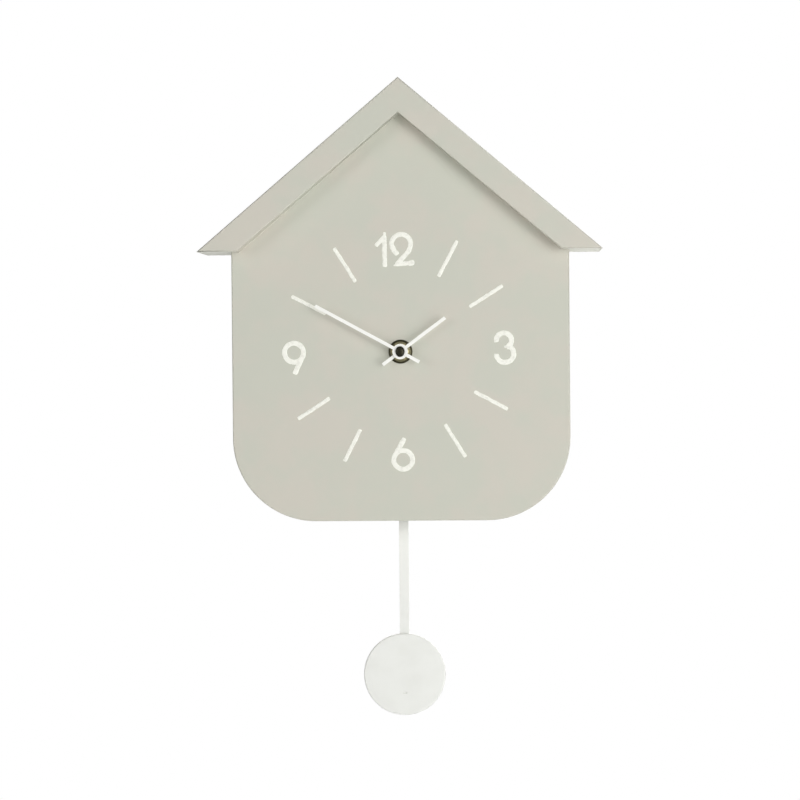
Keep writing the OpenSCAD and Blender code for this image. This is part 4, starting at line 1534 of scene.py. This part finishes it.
@dataclass(frozen=True)
class DryCell:
    """The battery: a steel can in a film that turns in over its ends, in millimetres.

    The steps of a rim are how far each point is in from the film's outside and how far it is
    from the can's end.
    """

    body: str = "battery"
    radius: float = 7.1
    nub_r: float = 2.75
    nub_h: float = 1.0
    band_h: float = 9.0
    base_dish: tuple[Pair, ...] = ((0.0, 0.35), (2.6, 0.35), (3.2, 0.05))
    can_low: tuple[Pair, ...] = ((1.32, 0.0), (0.62, 0.2), (0.22, 0.7))
    can_high: tuple[Pair, ...] = ((0.22, 0.9), (0.72, 0.25), (1.42, 0.0))
    nub_steps: tuple[Pair, ...] = ((0.9, 0.0), (0.35, -0.1), (0.0, 0.1), (-0.05, 0.75), (-0.3, 1.0))
    film_low: tuple[Pair, ...] = ((1.07, 0.0), (0.35, 0.12), (0.0, 0.6))
    film_high: tuple[Pair, ...] = ((0.0, 0.75), (0.3, 0.2), (1.12, -0.06))
    lining_high: tuple[Pair, ...] = ((1.12, 0.05), (0.52, 0.45), (0.17, 0.85))
    lining_low: tuple[Pair, ...] = ((0.17, 0.75), (0.52, 0.35), (1.07, 0.15), (1.07, 0.0))

    def build(self) -> None:
        """Turns the can and wraps it."""
        low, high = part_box("battery")
        middle = (low + high) / 2 / MM
        base, top = low.z / MM, high.z / MM - self.nub_h
        can = [
            *[(radius, base + up) for radius, up in self.base_dish],
            *self._rim(self.can_low, base, 1), *self._rim(self.can_high, top, -1),
            *[(self.nub_r + out, top + up) for out, up in self.nub_steps],
            (0.0, top + self.nub_h),
        ]
        self._upright("cell_can", can, (middle.x, middle.y), STEEL, ("battery",))
        wrap = [
            *self._rim(self.film_low, base, 1), *self._rim(self.film_high, top, -1),
            *self._rim(self.lining_high, top, -1), *self._rim(self.lining_low, base, 1),
        ]
        film = CellWrap(band_from_mm=top - self.band_h)
        self._upright("cell_wrap", wrap, (middle.x, middle.y), film, ())

    def _rim(self, steps: Sequence[Pair], end: float, inward: int) -> list[Pair]:
        """The radius and height of each point of a rim.

        Args:
            steps: How far each point is in from the film's outside and from the end.
            end: Height of the can's end.
            inward: 1 where the can lies above that end and -1 where it lies below.

        Returns:
            The points.
        """
        return [(self.radius - inset, end + inward * rise) for inset, rise in steps]

    def _upright(
        self, name: str, profile: Sequence[Pair], centre: Pair, finish: Finish, replaced: Sequence[str]
    ) -> None:
        """Turns a body about an upright axis.

        Args:
            name: Name of the piece.
            profile: Radius and height of each ring.
            centre: Where the axis is, across and in depth.
            finish: What it is made of.
            replaced: Nodes that it stands for.
        """
        mesh = bmesh.new()
        Bench.turned(mesh, [(radius, -height) for radius, height in profile], (0.0, 0.0), spokes=72)
        turn = Matrix.Rotation(math.radians(-90), 4, "X")
        bmesh.ops.transform(mesh, matrix=turn, verts=mesh.verts)
        bmesh.ops.translate(mesh, vec=(centre[0], centre[1], 0), verts=mesh.verts)
        bmesh.ops.remove_doubles(mesh, verts=mesh.verts, dist=Bench.SAME_POINT_MM)
        Bench.settle(mesh, name, finish, self.body, replaced)


@dataclass(frozen=True)
class Pendulum:
    """The strip and bob that swing below the case, in millimetres."""

    body: str = "pendulum"
    centre: Pair = (0.0, -330.0)
    front: float = -24.0
    back: float = -21.4
    radius: float = 26.0
    rim_r: float = 1.0
    rim_steps: int = 8
    rim_edge: float = 0.2
    inner_edge: float = 0.5
    rolled_gap: float = 0.02
    sheet: float = 1.0
    strip_edge: float = 0.28
    slit_w: float = 2.9
    slit_h: float = 0.95
    slit_up: float = -11.8
    slit_depth: float = 0.9
    slit_corner: float = 0.9
    slit_steps: int = 4

    def build(self) -> None:
        """Presses the bob and dresses the arm."""
        self._bob()
        Bench.recut(
            "pendulum_rod", "swing_strip", BOB_ENAMEL, self.body, self.strip_edge, lambda one, two: True
        )
        Bench.dress("pendulum_leader", WHITE_MOULDING, 0.3)
        Bench.dress("leader_magnet", MAGNET_PLATE, 0.15)
        Bench.dress("bob_clip", STEEL, 0.1)

    def _bob(self) -> None:
        """A pressed disc with a rolled rim and a slit that the strip's tab closes from behind."""
        flat_r = self.radius - self.rim_r
        roll = [math.pi / 2 * step / self.rim_steps for step in range(self.rim_steps + 1)]
        rim = [
            (flat_r + self.rim_r * math.sin(a), self.front + self.rim_r * (1 - math.cos(a)))
            for a in roll
        ]
        inner, edge, behind = flat_r + self.rolled_gap, self.rim_edge, self.front + self.sheet
        profile = [
            (0.0, self.front), (flat_r / 2, self.front), *rim,
            (self.radius, self.back - edge), (self.radius - edge, self.back),
            (inner + edge, self.back), (inner, self.back - edge),
            (inner, behind + self.inner_edge), (inner - self.inner_edge, behind),
            (flat_r / 2, behind), (0.0, behind),
        ]
        mesh = bmesh.new()
        Bench.turned(mesh, profile, self.centre, spokes=160)
        bob = Bench.settle(mesh, "bob_disc", BOB_ENAMEL, self.body, ("pendulum_bob",))
        self._slit(bob)

    def _slit(self, bob: bpy.types.Object) -> None:
        """Cuts the slit down to the tab that closes it.

        Args:
            bob: The disc.
        """
        mesh = bmesh.new()
        half_w, half_h = self.slit_w / 2, self.slit_h / 2
        round_r = half_h * self.slit_corner
        outline = []
        for side_x, side_z, start in ((1, -1, -90), (1, 1, 0), (-1, 1, 90), (-1, -1, 180)):
            for step in range(self.slit_steps + 1):
                angle = math.radians(start + 90 * step / self.slit_steps)
                outline.append((
                    self.centre[0] + side_x * (half_w - round_r) + round_r * math.cos(angle),
                    self.centre[1] + self.slit_up + side_z * (half_h - round_r) + round_r * math.sin(angle),
                ))
        Bench.slab(mesh, outline, self.front - self.sheet, self.front + self.slit_depth)
        bmesh.ops.scale(mesh, vec=(MM,) * 3, verts=mesh.verts)
        bmesh.ops.recalc_face_normals(mesh, faces=mesh.faces)
        data = bpy.data.meshes.new("slit_punch")
        mesh.to_mesh(data)
        mesh.free()
        punch = bpy.data.objects.new("slit_punch", data)
        bpy.context.scene.collection.objects.link(punch)
        cut = bob.modifiers.new("slit", "BOOLEAN")
        cut.operation = "DIFFERENCE"
        cut.solver = "EXACT"
        cut.object = punch
        bpy.context.view_layer.update()
        evaluated = bob.evaluated_get(bpy.context.evaluated_depsgraph_get())
        pressed = bpy.data.meshes.new_from_object(evaluated)
        bob.modifiers.clear()
        bob.data = pressed
        pressed.set_sharp_from_angle(angle=Bench.SMOOTH_UP_TO)
        bpy.data.objects.remove(punch)


@dataclass(frozen=True)
class Softbox:
    """A square lamp that points at the clock, in metres and watts."""

    name: str
    at: Triple
    power: float
    size: float

    def hang(self, aim: Triple) -> None:
        """Hangs the lamp.

        Args:
            aim: Where it points.
        """
        data = bpy.data.lights.new(self.name, "AREA")
        data.energy = self.power
        data.shape = "SQUARE"
        data.size = self.size
        lamp = bpy.data.objects.new(self.name, data)
        lamp.location = self.at
        lamp.rotation_euler = (Vector(aim) - Vector(self.at)).to_track_quat("-Z", "Y").to_euler()
        lamp.visible_camera = False
        bpy.context.scene.collection.objects.link(lamp)


@dataclass(frozen=True)
class Studio:
    """White surroundings, soft light and the camera, in metres."""

    floor_height: float = -1.6
    floor_half: float = 6.0
    floor_glow: float = 0.8
    ambient: float = 0.17
    seen_by: tuple[str, ...] = ("Is Camera Ray", "Is Glossy Ray", "Is Transmission Ray")
    lamps: tuple[Softbox, ...] = (
        Softbox("key_softbox", (1.5, -1.9, -0.35), 36.5, 1.7),
        Softbox("front_softbox", (0.95, -2.1, 0.4), 6.8, 1.0),
        Softbox("left_softbox", (-1.65, -1.6, 0.15), 11.2, 1.0),
        Softbox("crown_softbox", (1.0, 0.9, 1.9), 22.0, 1.3),
        Softbox("back_softbox", (0.5, 2.2, 0.1), 30.0, 2.0),
    )
    aim: Triple = (0.0, -0.04, -0.15)
    camera_offset: Triple = (0.0654, -1.683, -0.1259)
    tilt_deg: float = 1.027
    pan_deg: float = -2.314
    roll_deg: float = 0.482
    focal_px: float = 2619.0
    frame_px: float = 800.0
    sensor_mm: float = 36.0

    def build(self) -> None:
        """Sets up the world, floor, lamps and camera."""
        scene = bpy.context.scene
        scene.view_settings.view_transform = "Standard"
        self._world(scene)
        self._floor()
        for lamp in self.lamps:
            lamp.hang(self.aim)
        self._camera(scene)

    def _world(self, scene: bpy.types.Scene) -> None:
        """Surrounds that are white to the camera and in reflections, and a softer grey as light.

        Args:
            scene: The scene to surround.
        """
        world = bpy.data.worlds.new("white_room")
        scene.world = world
        world.use_nodes = True
        sheet = Sheet(world.node_tree)
        seen = sheet.any_ray(*self.seen_by)
        sky = sheet.node("ShaderNodeBackground", {}, {
            "Color": (1.0, 1.0, 1.0, 1.0), "Strength": self.ambient + seen * (1 - self.ambient)
        })
        sheet.node("ShaderNodeOutputWorld", {}, {"Surface": sky})

    def _floor(self) -> None:
        """A pale floor below the clock, which keeps its shadow."""
        mesh = bmesh.new()
        bmesh.ops.create_grid(mesh, x_segments=8, y_segments=8, size=self.floor_half)
        data = bpy.data.meshes.new("studio_floor")
        mesh.to_mesh(data)
        mesh.free()
        recipe = Recipe("pale_floor")
        seen = recipe.any_ray(*self.seen_by)
        glow = recipe.blend(seen, (0.0, 0.0, 0.0, 1.0), (1.0, 1.0, 1.0, 1.0))
        data.materials.append(recipe.surface(
            Base_Color=(0.85, 0.85, 0.84, 1.0), Roughness=0.8, Emission_Color=glow,
            Emission_Strength=self.floor_glow, Specular_IOR_Level=0.0,
        ))
        floor = bpy.data.objects.new("studio_floor", data)
        floor.location.z = self.floor_height
        bpy.context.scene.collection.objects.link(floor)

    def _camera(self, scene: bpy.types.Scene) -> None:
        """Sets the camera up at the photograph's viewpoint.

        Args:
            scene: The scene that it looks at.
        """
        data = bpy.data.cameras.new("photo_view")
        data.sensor_width = self.sensor_mm
        data.lens = self.focal_px / self.frame_px * self.sensor_mm
        camera = bpy.data.objects.new("photo_view", data)
        turn = (
            Matrix.Rotation(math.radians(90), 3, "X")
            @ Matrix.Rotation(math.radians(-self.pan_deg), 3, "Y")
            @ Matrix.Rotation(math.radians(-self.tilt_deg), 3, "X")
            @ Matrix.Rotation(math.radians(-self.roll_deg), 3, "Z")
        )
        camera.rotation_euler = turn.to_euler()
        camera.location = self.camera_offset
        scene.collection.objects.link(camera)
        scene.camera = camera


def main() -> None:
    """Builds the clock piece by piece."""
    logging.basicConfig(level=logging.INFO, format="%(name)s: %(message)s")
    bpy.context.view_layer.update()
    Shell().build()
    Print().build()
    CentreFitting().build()
    HandSet().build()
    Movement().build()
    DryCell().build()
    Pendulum().build()
    Studio().build()


if __name__ == "__main__":
    main()
